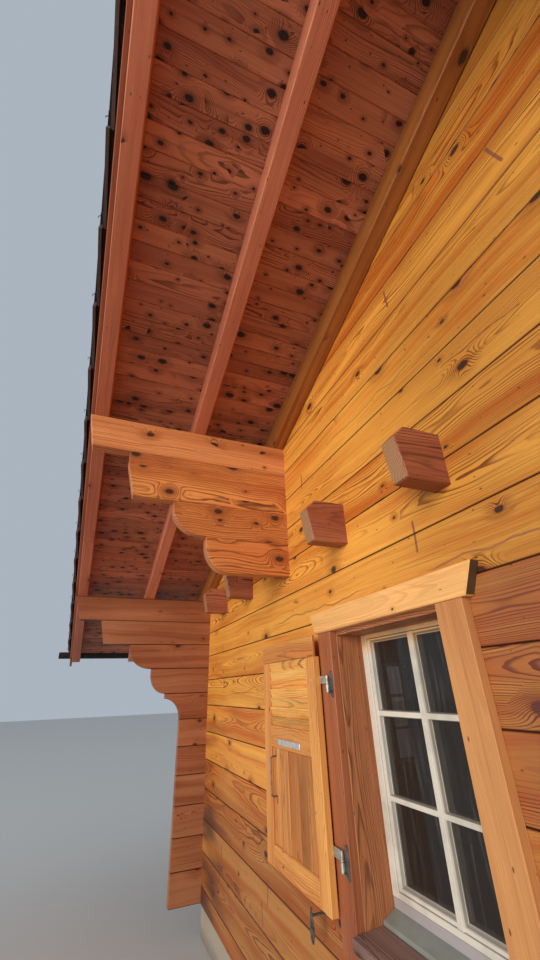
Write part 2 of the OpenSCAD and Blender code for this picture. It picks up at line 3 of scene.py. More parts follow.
import json
import logging
import math
from abc import ABC, abstractmethod
from dataclasses import dataclass, field
from enum import Enum
from functools import partial
from typing import Any, Callable, Mapping, Sequence, Union

import bmesh
import bpy
from mathutils import Matrix, Vector

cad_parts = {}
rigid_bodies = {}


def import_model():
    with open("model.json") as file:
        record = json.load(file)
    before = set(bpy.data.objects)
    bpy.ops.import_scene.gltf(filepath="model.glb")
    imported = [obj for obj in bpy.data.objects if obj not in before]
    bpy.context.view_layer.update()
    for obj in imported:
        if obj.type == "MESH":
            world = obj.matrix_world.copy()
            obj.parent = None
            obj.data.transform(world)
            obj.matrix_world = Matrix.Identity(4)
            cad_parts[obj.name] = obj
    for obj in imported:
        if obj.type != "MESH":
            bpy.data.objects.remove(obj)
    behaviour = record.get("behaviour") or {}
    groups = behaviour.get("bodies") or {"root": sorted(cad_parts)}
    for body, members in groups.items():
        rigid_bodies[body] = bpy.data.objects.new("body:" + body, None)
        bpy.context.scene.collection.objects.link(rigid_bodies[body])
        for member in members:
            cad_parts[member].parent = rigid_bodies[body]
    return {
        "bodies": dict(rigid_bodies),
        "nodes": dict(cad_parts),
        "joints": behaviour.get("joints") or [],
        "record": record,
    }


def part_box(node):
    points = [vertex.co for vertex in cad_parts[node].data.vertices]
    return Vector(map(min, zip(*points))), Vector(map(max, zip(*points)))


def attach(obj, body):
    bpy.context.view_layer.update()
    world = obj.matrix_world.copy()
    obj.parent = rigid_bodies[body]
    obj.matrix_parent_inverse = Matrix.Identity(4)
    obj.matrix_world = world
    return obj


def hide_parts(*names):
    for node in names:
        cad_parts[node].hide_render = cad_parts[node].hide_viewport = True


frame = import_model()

log = logging.getLogger("chalet")

Colour = tuple[float, float, float, float]
Point = tuple[float, float, float]
Pair = tuple[float, float]
Term = Union["Wire", float]
HOUSE = "house"
LEAF = "shutter"


def tint(red: int, green: int, blue: int) -> Colour:
    """Turns a colour as seen on a screen, 0 to 255, into the linear one that a shader takes."""
    def linear(part: int) -> float:
        """Undoes the screen's curve for one part."""
        share = part / 255
        return share / 12.92 if share <= 0.04045 else ((share + 0.055) / 1.055) ** 2.4
    return linear(red), linear(green), linear(blue), 1.0


def operator(operation: str, swapped: bool = False) -> Callable[["Wire", Term], "Wire"]:
    """Makes an operator of Wire that adds a Math node.

    Args:
        operation: the node's operation.
        swapped: whether the other term comes first.

    Returns:
        The operator's method.
    """
    def apply(self: "Wire", other: Term) -> "Wire":
        """Adds the node with both terms."""
        return self.math(operation, *((other, self) if swapped else (self, other)))
    return apply


@dataclass(eq=False)
class Wire:
    """One value in a node tree, whose operators add Math nodes."""

    bench: "Bench"
    socket: bpy.types.NodeSocket

    def out(self, key: Union[int, str]) -> "Wire":
        """Another output of the same node."""
        return Wire(self.bench, self.socket.node.outputs[key])

    def split(self) -> tuple["Wire", "Wire", "Wire"]:
        """The three parts of a vector or colour."""
        parts = self.bench.add("ShaderNodeSeparateXYZ", {}, [self])
        return parts, parts.out(1), parts.out(2)

    def math(self, operation: str, *terms: Term) -> "Wire":
        """Adds a Math node.

        Args:
            operation: the node's operation.
            terms: its inputs in order.

        Returns:
            The node's result.
        """
        return self.bench.add("ShaderNodeMath", {"operation": operation}, terms)

    __add__ = __radd__ = operator("ADD")
    __sub__, __rsub__ = operator("SUBTRACT"), operator("SUBTRACT", swapped=True)
    __mul__ = __rmul__ = operator("MULTIPLY")
    __truediv__, __pow__ = operator("DIVIDE"), operator("POWER")
    __gt__, __lt__ = operator("GREATER_THAN"), operator("LESS_THAN")

    def __abs__(self) -> "Wire":
        """The size of self."""
        return self.math("ABSOLUTE", self)

    def floor(self) -> "Wire":
        """The whole number under self."""
        return self.math("FLOOR", self)

    def fade(self, start: Term, end: Term, low: float = 0.0, high: float = 1.0) -> "Wire":
        """A smooth step.

        Args:
            start: where the result is low.
            end: where the result is high, which may be under start.
            low: result at start.
            high: result at end.

        Returns:
            The eased value.
        """
        return self.bench.add("ShaderNodeMapRange", {"interpolation_type": "SMOOTHSTEP"},
                              [self, start, end, low, high])


@dataclass
class Bench:
    """A node tree and the one method that adds nodes to it."""

    tree: bpy.types.NodeTree

    def add(self, kind: str, settings: Mapping[str, Any], inputs: Union[Sequence, Mapping] = (),
            out: Union[int, str] = 0) -> Wire:
        """Adds one node.

        Args:
            kind: the node's type.
            settings: its properties, set first.
            inputs: values or wires by order, or by name or number.
            out: which output to return.

        Returns:
            The chosen output.
        """
        node = self.tree.nodes.new(kind)
        for name, value in settings.items():
            setattr(node, name, value)
        pairs = inputs.items() if isinstance(inputs, Mapping) else enumerate(inputs)
        for key, value in pairs:
            if isinstance(value, Wire):
                self.tree.links.new(value.socket, node.inputs[key])
            elif value is not None:
                node.inputs[key].default_value = value
        return Wire(self, node.outputs[out]) if node.outputs else Wire(self, node.inputs[0])

    def vector(self, x: Term, y: Term, z: Term) -> Wire:
        """Joins three values into a vector."""
        return self.add("ShaderNodeCombineXYZ", {}, [x, y, z])

    def vectors(self, operation: str, *terms: Any, out: int = 0) -> Wire:
        """Adds a Vector Math node."""
        return self.add("ShaderNodeVectorMath", {"operation": operation}, terms, out)

    def mix(self, share: Term, first: Any, second: Any, blend: str = "MIX") -> Wire:
        """Mixes two colours.

        Args:
            share: how much of the second.
            first: colour or wire.
            second: colour or wire.
            blend: the node's blend type.

        Returns:
            The mixed colour.
        """
        return self.add("ShaderNodeMix", {"data_type": "RGBA", "blend_type": blend},
                        {0: share, 6: first, 7: second}, 2)

    def noise(self, place: Wire, scale: Union[float, Point] = 1.0, detail: float = 2.0,
              rough: float = 0.5, out: int = 0) -> Wire:
        """Smooth noise from 0 to 1 at a place.

        Args:
            place: where it is read.
            scale: how fine it is, or how fine along each axis.
            detail: the node's detail.
            rough: the node's roughness.
            out: 0 for one value, 1 for three.

        Returns:
            The noise.
        """
        if isinstance(scale, tuple):
            place, scale = self.vectors("MULTIPLY", place, scale), 1.0
        return self.add("ShaderNodeTexNoise", {}, {"Vector": place, "Scale": scale, "Detail": detail,
                                                   "Roughness": rough}, out)

    def scale(self, colour: Any, factor: Term) -> Wire:
        """A colour or vector times a factor."""
        start = colour[:3] if isinstance(colour, tuple) else colour
        return self.add("ShaderNodeVectorMath", {"operation": "SCALE"}, {0: start, 3: factor})

    def spot(self) -> Wire:
        """The place in Object coordinates."""
        return self.add("ShaderNodeTexCoord", {}, out="Object")

    def read(self, name: str, out: str = "Fac") -> Wire:
        """An attribute of the piece."""
        return self.add("ShaderNodeAttribute", {"attribute_name": name}, out=out)

    def luck(self, number: Wire, out: str = "Color") -> Wire:
        """Three random numbers for each number, or one as Value."""
        return self.add("ShaderNodeTexWhiteNoise", {"noise_dimensions": "1D"}, {"W": number}, out)

    def cells(self, grid: Wire) -> Wire:
        """The cells of a grid with scattered middles."""
        return self.add("ShaderNodeTexVoronoi", {}, {"Vector": grid, "Scale": 1.0})

    def relief(self, height: Wire, depth: float, strength: float = 1.0) -> Wire:
        """Turns a height into a bumped normal."""
        return self.add("ShaderNodeBump", {}, {"Strength": strength, "Distance": depth, "Height": height})

    def feed(self, **sockets: Any) -> None:
        """Sets or links sockets of the shader; an underscore in a name stands for a space."""
        inputs = self.tree.nodes["Principled BSDF"].inputs
        for name, value in sockets.items():
            socket = inputs[name.replace("_", " ")]
            if isinstance(value, Wire):
                self.tree.links.new(value.socket, socket)
            else:
                socket.default_value = value


@dataclass(frozen=True)
class Finish(ABC):
    """A procedural finish, made once and shared by its pieces."""

    name: str
    slot: str

    @property
    def material(self) -> bpy.types.Material:
        """The Blender material, mixed on first use."""
        return bpy.data.materials.get(self.name) or self._mix()

    def _mix(self) -> bpy.types.Material:
        """Makes the material with its one shader."""
        material = bpy.data.materials.new(self.name)
        material.use_nodes = True
        self.paint(Bench(material.node_tree))
        return material

    @abstractmethod
    def paint(self, bench: Bench) -> None:
        """Adds the finish's nodes and feeds the shader."""


class Lay(Enum):
    """How the grain runs and how a node's timbers are told apart."""

    GABLE_LOG = "courses along X"
    SIDE_LOG = "courses along Y"
    BOARD = "the piece's own grain attribute"


@dataclass(frozen=True)
class HouseSizes:
    """Sizes that the wood patterns and pieces share, in metres."""

    front: float = 3.6
    side: float = 4.52
    plinth: float = 0.2
    course: float = 0.2
    pitch: float = math.radians(20)
    eave_seat: float = 2.391
    seat_x: float = 4.485
    rafter: float = 0.14
    verge: float = 4.818
    tail: float = 5.74
    board: float = 0.022
    play: float = 0.0003
    lining: Pair = (0.0, 0.19)

    def under(self, x: float) -> float:
        """Height of the rafters' undersides over a distance from the ridge."""
        return self.eave_seat + math.tan(self.pitch) * (self.seat_x - abs(x))

    def up(self, x: float, depth: float) -> float:
        """Height of a layer's face that lies a depth above the rafters' undersides."""
        return self.under(x) + depth / math.cos(self.pitch)


SIZES = HouseSizes()
DOWN = (math.cos(SIZES.pitch), 0.0, -math.sin(SIZES.pitch))


@dataclass(frozen=True)
class Timber(Finish):
    """Sawn and oiled larch: growth rings round a wandering pith, knots, resin marks and fibres."""

    lay: Lay = Lay.BOARD
    pale: Colour = tint(236, 164, 68)
    warm: Colour = tint(208, 112, 36)
    deep: Colour = tint(152, 70, 26)
    late: Colour = tint(108, 44, 14)
    knot: Colour = tint(56, 42, 30)
    butt: Colour = tint(206, 146, 98)
    ring: float = 0.0046
    line: float = 1.0
    least: float = 0.12
    spread: float = 0.12
    sway: float = 0.10
    knot_run: float = 0.42
    knot_step: float = 0.2
    knot_size: float = 0.013
    knot_share: float = 0.6
    specks: float = 0.4
    aged: float = 0.0
    seam: bool = False
    scars_and_painted_shade: bool = False
    plain_course: int = 8
    rose: float = 0.0
    gloss: float = 0.5

    def _lie(self, bench: Bench) -> tuple[Wire, Wire, Wire, Wire]:
        """Places in the timber's own frame.

        Args:
            bench: the material's tree.

        Returns:
            Metres along and across the grain and into the wood, and the timber's number.
        """
        if self.lay is Lay.BOARD:
            return *bench.read("grain", "Vector").split(), bench.read("plank")
        x, y, z = bench.spot().split()
        if self.lay is Lay.GABLE_LOG:
            course = (z - (SIZES.plinth + SIZES.course / 2)) / SIZES.course
            plainer = (course > self.plain_course) * (course < self.plain_course + 1)
            number = course.floor() + (y > 0) * 31 + plainer * 4
            return (x + plainer * 9.0, (course - course.floor() - 0.5) * SIZES.course,
                    SIZES.front - abs(y), number)
        course = (z - SIZES.plinth) / SIZES.course
        number = course.floor() + (x > 0) * 47 + 11
        return y, (course - course.floor() - 0.5) * SIZES.course, SIZES.side - abs(x), number

    def paint(self, bench: Bench) -> None:
        """Adds the wood's nodes."""
        along, across, inward, number = self._lie(bench)
        first, second, third = bench.luck(number).split()
        spot = bench.vector(along + number * 3.7, across, inward)
        sway_v, sway_w, tone = bench.noise(spot, (0.8, 0.2, 0.2), 2.0, out=1).split()
        mark, near, lift, dark = self._knots(bench, spot, number)
        ripple = bench.noise(spot, (3.0, 20.0, 20.0), 2.0)
        dv = across - ((first - 0.5) * 0.16 + (sway_v - 0.5) * self.sway * 1.7)
        dw = inward - (second * second * 0.14 + 0.04 + (sway_w - 0.5) * self.sway)
        radius = (dv * dv + dw * dw) ** 0.5
        turn = radius / ((third * 0.9 + 0.75) * self.ring) + (ripple - 0.5) * 2.0 + lift
        phase = turn - turn.floor()
        own = bench.luck(turn.floor() + number * 7.3).split()[0]
        late = phase.fade(0.48, 0.86) * phase.fade(1.0, 0.93)
        band = bench.add("ShaderNodeTexNoise", {"noise_dimensions": "1D"}, {"W": turn * 0.13 + number * 5.1,
                                                                           "Scale": 1.0, "Detail": 1.0})

        patch = bench.noise(spot, (0.9, 4.0, 4.0), 2.0)
        strength = (patch + (first - 0.5) * 0.3).fade(0.38, 0.58, self.least, 1.0) * (own * 0.7 + 0.3)
        strength = strength.math("MAXIMUM", strength, near) * self.line
        fibre = bench.noise(spot, (9.0, 420.0, 420.0), 1.0)
        streak = bench.noise(spot, (1.1, 60.0, 60.0), 3.0, rough=0.65)
        hair = bench.noise(spot, (1.4, 190.0, 190.0), 1.0).fade(0.52, 0.68)

        blend = third * 0.5 + (band - 0.5) * 1.3 + (tone - 0.5) * 1.2 + (patch - 0.5) * 0.9 + 0.2
        colour = bench.mix(blend.fade(0.0, 1.0), self.pale, self.warm)
        old = streak.fade(0.52, 0.76) * 0.55 + self.aged * patch.fade(0.3, 0.7)
        colour = bench.mix(old, colour, self.deep)
        colour = bench.mix(hair * tone.fade(0.4, 0.6) * self.line * 0.3, colour, self.late)
        colour = bench.mix(late * strength, colour, self.late)
        shade = (own - 0.5) * 0.14 + (second - 0.5) * self.spread
        colour = bench.scale(colour, fibre * 0.34 + streak * 0.3 + shade + 0.68)
        colour = bench.mix(near * 0.16 + dark * 0.5, colour, self.deep)
        crack = bench.noise(spot, 240.0, 1.0).fade(0.56, 0.66) * 0.6
        colour = bench.mix(mark * 0.94, colour, bench.scale(self.knot, 1.2 - crack))
        flecks = self._flecks(bench, spot, number)
        colour = bench.mix(flecks * 0.8, colour, self.knot)
        if self.lay is Lay.BOARD:
            rings = phase.fade(0.4, 0.75) * phase.fade(1.0, 0.9)
            butt = bench.scale(self.butt, (fibre - 0.5) * 0.3 + 1.1 - rings * 0.72)
            colour = bench.mix(bench.read("butt") * 0.94, colour, butt)
        height = (1.0 - late * strength) * 0.6 + fibre * 0.4 - flecks * 0.5
        if self.lay is Lay.GABLE_LOG and self.scars_and_painted_shade:
            colour, bare = self._weather(bench, colour, patch, late * strength)
            height = height * (bare * 1.5 + 1.0)
        if self.seam:
            # Painted shade in the V groove between the logs, and the dark joint line at its bottom.
            edge = SIZES.course / 2 - abs(across)
            colour = bench.scale(colour, edge.fade(0.007, 0.002, 1.0, 0.62))
            colour = bench.mix(edge.fade(0.0028, 0.0014), colour, tint(64, 24, 12))
        bench.feed(Base_Color=colour, Specular_IOR_Level=0.3,
                   Roughness=streak * 0.16 + (self.gloss - 0.08) - mark * 0.1,
                   Normal=bench.relief(height, 0.0006, 0.6))

    def _scatter(self, bench: Bench, spot: Wire, number: Wire, run: float, step: float,
                 stretch: float) -> tuple[Wire, Wire, Wire]:
        """Scatters spots over the wood's faces.

        Args:
            bench: the material's tree.
            spot: place in the wood.
            number: the timber's number.
            run: mean distance along the grain.
            step: mean distance across it.
            stretch: how much longer than wide a spot is.

        Returns:
            Distance to the nearest spot and two of its random numbers.
        """
        along, across, inward = spot.split()
        grid = bench.vector(along / run, (across + inward) / step + number * 1.37, number * 0.61)
        cells = bench.cells(grid)
        gap = bench.vectors("MULTIPLY", bench.vectors("SUBTRACT", grid, cells.out("Position")),
                            (run / stretch, step, 0.0))
        return bench.vectors("LENGTH", gap, out=1), *cells.out("Color").split()[:2]

    def _knots(self, bench: Bench, spot: Wire, number: Wire) -> tuple[Wire, Wire, Wire, Wire]:
        """Scatters knots that bend the rings round them.

        Args:
            bench: the material's tree.
            spot: place in the wood.
            number: the timber's number.

        Returns:
            The knots' mask, a wide soft one round them, the rings' lift and the knots' dark rims.
        """
        away, chance, size = self._scatter(bench, spot, number, self.knot_run, self.knot_step, 1.6)
        present = chance < self.knot_share
        radius = (size * size + 0.25) * self.knot_size
        ragged = away + (bench.noise(spot, 90.0, 2.0) - 0.5) * self.knot_size * 0.5
        mark = ragged.fade(radius * 1.1, radius * 0.85) * present
        dark = away.fade(radius * 1.7, radius) * present
        near = away.fade(radius * 5.0, radius * 1.5) * present
        reach = away / (radius * 2.6)
        lift = (reach * reach * -1.0).math("EXPONENT", reach * reach * -1.0) * present * 7.0
        return mark, near, lift, dark

    def _flecks(self, bench: Bench, spot: Wire, number: Wire) -> Wire:
        """Pin knots and short resin dashes."""
        away, chance, size = self._scatter(bench, spot, number + 0.37, 0.13, 0.055, 2.2)
        return away.fade(size * 0.0028 + 0.0012, size * 0.0016 + 0.0004) * (chance < self.specks)

    def _weather(self, bench: Bench, colour: Wire, patch: Wire, lines: Wire) -> tuple[Wire, Wire]:
        """Adds a mauve, darker tone low in the middle of the wall, painted shade that darkens the wall
        towards its middle, dark grey patches low near the corners, mauve scars across the logs and a greyer
        foot of the wall.

        Args:
            bench: the material's tree.
            colour: the wood's colour.
            patch: slow noise.
            lines: the late wood's lines.

        Returns:
            The weathered colour and where the rain has laid the grain bare.
        """
        along, _, height = bench.spot().split()
        height = height - SIZES.plinth - SIZES.course
        blot = (patch - 0.5) * 0.5
        middle = (abs(along) + blot).fade(2.3, 1.7) * height.fade(1.52, 1.48)
        colour = bench.mix(middle * self.rose, colour, bench.mix(0.56, colour, tint(148, 80, 70)))
        colour = bench.mix(middle * lines * 0.55, colour, tint(96, 44, 32))
        # Painted shade: the wall darkens towards its middle and lightens towards its ends.
        colour = bench.scale(colour, (abs(along) + blot * 0.5).fade(1.1, 1.9, 0.73, 1.06))
        low = (height + blot).fade(0.9, 0.3) * self.rose
        colour = bench.mix(low, colour, bench.mix(1.0, colour, tint(186, 188, 252), "MULTIPLY"))
        corner = (abs(along) + blot).fade(3.7, 4.3) * height.fade(1.3, 0.5)
        colour = bench.mix(corner * patch.fade(0.42, 0.6) * 0.75, colour, tint(58, 46, 46))
        grid = bench.vector(along / 0.8, height / 0.36, 0.0)
        cells = bench.cells(grid)
        x, z, _ = bench.vectors("SUBTRACT", grid, cells.out("Position")).split()
        chance, size, lean = cells.out("Color").split()
        bent = x * 0.8 + z * 0.36 * (lean - 0.5) * 0.5 + (patch - 0.5) * 0.02
        scar = abs(bent).fade(0.0065, 0.004) * abs(z * 0.36).fade(size * 0.05 + 0.03, size * 0.05 + 0.02)
        colour = bench.mix(scar * (chance < 0.3) * 0.8, colour, tint(118, 66, 56))
        bend = bench.noise(bench.vector(along * 3.0, height.floor(), 0.0), detail=3.0)
        split = abs(z * 0.36 + (bend - 0.5) * 0.16).fade(0.0026, 0.0012) * (chance > 0.72)
        colour = bench.mix(split * abs(x).fade(0.5, 0.35) * 0.75, colour, tint(104, 50, 36))
        rift = abs(height - 1.566 + (bend - 0.5) * 0.1).fade(0.005, 0.002) * patch.fade(0.34, 0.42)
        rift = rift * abs(abs(along) - 1.9).fade(1.0, 0.8) * 0.65
        return bench.mix(rift, colour, tint(132, 76, 64)), middle


@dataclass(frozen=True)
class Concrete(Finish):
    """Rough rendered masonry, damp and dusty towards the ground."""

    light: Colour = tint(168, 154, 136)
    dark: Colour = tint(126, 112, 96)

    def paint(self, bench: Bench) -> None:
        """Adds the render's nodes."""
        place = bench.spot()
        cloud = bench.noise(place, 1.6, 5.0, 0.6)
        grit = bench.noise(place, 160.0, 3.0, 0.7)
        damp = (place.split()[2] + (cloud - 0.5) * 0.14).fade(0.09, 0.0)
        colour = bench.mix(cloud.fade(0.35, 0.7), self.light, self.dark)
        colour = bench.scale(colour, (grit * 0.3 + 0.85) * (1.0 - damp * 0.35))
        bench.feed(Base_Color=colour, Roughness=0.9,
                   Normal=bench.relief(grit + cloud * 0.6, 0.003, 0.7))


@dataclass(frozen=True)
class TileClay(Finish):
    """Weathered roof tiles, each of its own shade, with pale lichen and darker runs."""

    base: Colour = tint(92, 74, 68)
    ash: Colour = tint(60, 50, 50)
    lichen: Colour = tint(150, 146, 128)

    def paint(self, bench: Bench) -> None:
        """Adds the tiles' nodes."""
        place = bench.spot()
        luck = bench.luck(bench.read("plank"), "Value")
        cloud = bench.noise(place, 3.0, 4.0, 0.6)
        grit = bench.noise(place, 220.0, 2.0, 0.6)
        spots = bench.noise(place, 26.0, 4.0, 0.65)
        colour = bench.mix(luck * 0.6 + cloud * 0.4, self.base, self.ash)
        colour = bench.mix(spots.fade(0.6, 0.72) * cloud.fade(0.4, 0.7) * 0.6, colour, self.lichen)
        colour = bench.scale(colour, grit * 0.4 + 0.8)
        bench.feed(Base_Color=colour, Roughness=spots * 0.2 + 0.62,
                   Normal=bench.relief(grit + spots * 0.5, 0.0015, 0.7))


@dataclass(frozen=True)
class OldPaint(Finish):
    """Brushed paint, chipped and greyed on the lower edges, with painted shade in the bevels and painted
    shade under the head casing that turns the top rail a warm brown.
    """

    paint_tone: Colour = tint(226, 217, 199)
    under: Colour = tint(150, 120, 96)
    grime: Colour = tint(150, 144, 128)
    faded: Colour = tint(190, 180, 172)
    # Painted shade under the head casing: the top rail's warm brown tone.
    head: Colour = tint(230, 178, 116)
    bevel_shade: float = 0.7

    def paint(self, bench: Bench) -> None:
        """Adds the paint's nodes."""
        place = bench.spot()
        brush = bench.noise(place, (18.0, 18.0, 90.0), 2.0)
        cloud = bench.noise(place, 7.0, 3.0)
        chip = bench.noise(place, 60.0, 4.0, 0.7)
        z = place.split()[2]
        inward = bench.read("grain", "Vector").split()[2]
        luck = bench.luck(bench.read("plank"), "Value")
        bevel = inward.fade(-0.0178, -0.0145) * inward.fade(-0.0066, -0.0076)
        low = z.fade(1.15, 0.9)
        worn = (chip + cloud * 0.35 + low * 0.03).fade(0.9, 0.93)
        colour = bench.mix(luck * 0.4, self.paint_tone, self.faded)
        # Painted shade under the head casing turns the top rail a warm brown.
        colour = bench.mix(z.fade(1.71, 1.8) * 0.9, colour, self.head)
        colour = bench.mix(cloud.fade(0.4, 0.7) * 0.45 + brush.fade(0.6, 0.8) * 0.2, colour, self.grime)
        # Painted shade in the bevels round the glass.
        colour = bench.mix(bevel * self.bevel_shade, colour, tint(112, 108, 96))
        colour = bench.scale(colour, brush * 0.12 + 0.94)
        colour = bench.mix(worn, colour, self.under)
        bench.feed(Base_Color=colour, Roughness=worn * 0.3 + 0.42,
                   Normal=bench.relief(brush * 0.3 - worn, 0.0005, 0.6))


@dataclass(frozen=True)
class Pane(Finish):
    """Window glass with a film of dust, coloured dark as painted shade of the dim room behind it."""

    # Painted shade: the glass itself is dark and half opaque for the dim room behind it.
    shade: Colour = tint(52, 46, 42)
    film: Colour = tint(150, 146, 140)

    def paint(self, bench: Bench) -> None:
        """Adds the glass's nodes."""
        place = bench.spot()
        runs = bench.noise(place, (60.0, 60.0, 4.0), 3.0)
        dust = runs.fade(0.5, 0.8) * 0.25
        bench.feed(Base_Color=bench.mix(dust, self.shade, self.film),
                   Roughness=dust * 0.4 + 0.04, Alpha=dust * 0.5 + 0.5)


@dataclass(frozen=True)
class Steel(Finish):
    """Zinc-plated or blackened steel with dull patches and a little rust."""

    bright: Colour = tint(176, 176, 172)
    dull: Colour = tint(112, 110, 106)
    rust: Colour = tint(110, 62, 34)
    rusty: float = 0.15
    smooth: float = 0.38
    metal: float = 1.0

    def paint(self, bench: Bench) -> None:
        """Adds the metal's nodes."""
        place = bench.spot()
        cloud = bench.noise(place, 40.0, 4.0, 0.6)
        speck = bench.noise(place, 260.0, 2.0)
        colour = bench.mix(cloud.fade(0.35, 0.7), self.bright, self.dull)
        metal = self.metal
        if self.rusty:
            spot = (speck * 0.5 + cloud * 0.5).fade(0.62, 0.7) * self.rusty
            colour = bench.mix(spot, colour, self.rust)
            metal = (1.0 - spot) * metal
        bench.feed(Base_Color=colour, Metallic=metal, Roughness=cloud * 0.3 + self.smooth,
                   Normal=bench.relief(speck, 0.0003, 0.4))


@dataclass(frozen=True)
class Palette:
    """All finishes of the house."""

    logs: Timber = Timber("oiled_gable_logs", "logs", Lay.GABLE_LOG, seam=True, scars_and_painted_shade=True, rose=0.85)
    # Painted shade: the side walls' logs and the eave purlins are a darker copy of the gable logs.
    side_logs: Timber = Timber("oiled_side_logs", "logs", Lay.SIDE_LOG, seam=True, pale=tint(170, 110, 74),
                               warm=tint(144, 80, 48), knot_size=0.017)
    panelling: Timber = Timber("inner_panelling", "inner_panelling", Lay.GABLE_LOG, line=0.4)
    floor: Timber = Timber("floor_boards", "floor_boards", Lay.GABLE_LOG, line=0.4)
    purlins: Timber = Timber("purlin_wood", "purlins", ring=0.0095, least=0.6, pale=tint(234, 155, 94),
                             warm=tint(204, 117, 66), late=tint(104, 46, 26), knot_run=0.3, knot_step=0.16,
                             knot_size=0.016, knot_share=0.75, butt=tint(214, 156, 118))
    corbels: Timber = Timber("corbel_wood", "corbel_logs", line=1.05, ring=0.0086, least=0.85,
                             pale=tint(232, 152, 82), warm=tint(198, 110, 56), deep=tint(130, 60, 32),
                             late=tint(76, 30, 16), knot_run=0.34, knot_step=0.17, knot_size=0.021,
                             knot_share=0.75, butt=tint(190, 122, 82))
    joists: Timber = Timber("joist_wood", "joists", ring=0.0042, least=0.85, pale=tint(182, 112, 78),
                            warm=tint(150, 80, 54), deep=tint(104, 48, 32), late=tint(66, 30, 20),
                            butt=tint(174, 128, 88))
    rafters: Timber = Timber("rafter_wood", "rafters", line=0.55, pale=tint(214, 132, 98),
                             warm=tint(180, 98, 68), deep=tint(120, 60, 42), late=tint(98, 46, 30),
                             knot_run=0.5, knot_share=0.5, butt=tint(176, 110, 80))
    # Painted shade: the rafters against the walls are a darker, yellower copy of the rafter wood.
    wall_rafters: Timber = Timber("wall_rafter_wood", "rafters", line=0.5, pale=tint(178, 112, 54),
                                  warm=tint(148, 82, 36), deep=tint(98, 50, 24), late=tint(80, 38, 18),
                                  knot_run=0.4, knot_share=0.7, knot_size=0.016, butt=tint(176, 110, 80))
    barges: Timber = Timber("barge_wood", "barge_boards", line=0.5, pale=tint(176, 104, 72),
                            warm=tint(146, 78, 50), deep=tint(104, 50, 34))
    soffit: Timber = Timber("knotty_soffit_boards", "roof_boards", line=0.95, spread=0.3,
                            pale=tint(206, 128, 92), warm=tint(168, 94, 66), deep=tint(102, 50, 34),
                            late=tint(58, 26, 18), knot=tint(24, 17, 18), knot_run=0.125, knot_step=0.08,
                            knot_size=0.0125, knot_share=0.8, specks=0.7)
    # One casing wood in three tones: the head and apron keep the plain tone, the far side board is a little
    # darker as painted shade, and the hinge side board is darker still as the open leaf's painted shadow.
    # The dark grey end grain is weathered and partly painted shade.
    casings: Timber = Timber("casing_wood", "casings", line=0.5, knot_share=0.06, specks=0.15,
                             pale=tint(242, 182, 110), warm=tint(228, 158, 90), deep=tint(184, 108, 60),
                             late=tint(164, 94, 50), butt=tint(64, 50, 42))
    side_casings: Timber = Timber("side_casing_wood", "casings", line=0.2, least=0.0, knot_share=0.1,
                                  specks=0.2, pale=tint(208, 147, 90), warm=tint(184, 120, 70),
                                  deep=tint(150, 86, 48), late=tint(132, 72, 40), butt=tint(64, 50, 42))
    shaded_hinge_casings: Timber = Timber("hinge_casing_wood", "casings", line=0.7, knot_share=0.3,
                                   pale=tint(178, 106, 68), warm=tint(148, 82, 50), deep=tint(112, 56, 36),
                                   late=tint(98, 44, 28), butt=tint(64, 50, 42))
    linings: Timber = Timber("lining_wood", "window_linings", line=1.0, least=0.7, ring=0.0058,
                             knot_share=0.4, knot_size=0.011, pale=tint(198, 130, 84),
                             warm=tint(166, 98, 60), deep=tint(116, 60, 38), late=tint(74, 34, 22))
    sills: Timber = Timber("weathered_sill", "sills", least=0.9, spread=0.0, knot_share=0.2, aged=0.2,
                           pale=tint(176, 140, 128), warm=tint(144, 110, 100), deep=tint(96, 70, 62),
                           late=tint(50, 34, 30), butt=tint(128, 100, 92))
    stiles: Timber = Timber("shutter_wood", "shutters", line=0.55, knot_share=0.15, knot_size=0.007,
                            specks=0.15, pale=tint(234, 164, 86), warm=tint(206, 126, 58),
                            butt=tint(190, 122, 72))
    slats: Timber = Timber("slat_wood", "shutters", line=1.0, spread=0.46, knot_share=0.1, knot_size=0.006,
                           specks=0.1, pale=tint(246, 188, 100), warm=tint(222, 148, 68))
    panels: Timber = Timber("shutter_field_wood", "shutters", line=0.7, spread=0.66, knot_share=0.15,
                            knot_size=0.006, specks=0.15, pale=tint(202, 136, 70), warm=tint(158, 92, 42))
    doors: Timber = Timber("door_wood", "door_boards", line=0.6)
    masonry: Concrete = Concrete("rendered_plinth", "masonry")
    tiles: TileClay = TileClay("weathered_tiles", "roof_tiles")
    old_paint: OldPaint = OldPaint("cream_paint", "painted_frames")
    ledge_paint: OldPaint = OldPaint("grey_ledge_paint", "painted_frames", paint_tone=tint(140, 148, 138),
                                     faded=tint(150, 150, 146), grime=tint(116, 112, 96), bevel_shade=0.0)
    # Grey paint whose lilac tint is a painted reflection of the sky.
    strip_paint: OldPaint = OldPaint("faded_strip_paint", "painted_frames", paint_tone=tint(172, 163, 161),
                                     faded=tint(160, 152, 152), bevel_shade=0.0)
    glass: Pane = Pane("window_panes", "window_glass")
    zinc: Steel = Steel("zinc_fittings", "fittings", bright=tint(206, 206, 198), dull=tint(140, 140, 132),
                        metal=0.8)
    gutter: Steel = Steel("coated_gutter", "fittings", bright=tint(72, 66, 66), dull=tint(50, 46, 48),
                          rusty=0.0, smooth=0.5)
    wire: Steel = Steel("verge_wire", "fittings", bright=tint(120, 116, 112), dull=tint(80, 76, 72))
    iron: Steel = Steel("dark_iron", "fittings", bright=tint(84, 74, 72), dull=tint(52, 44, 42), smooth=0.45)
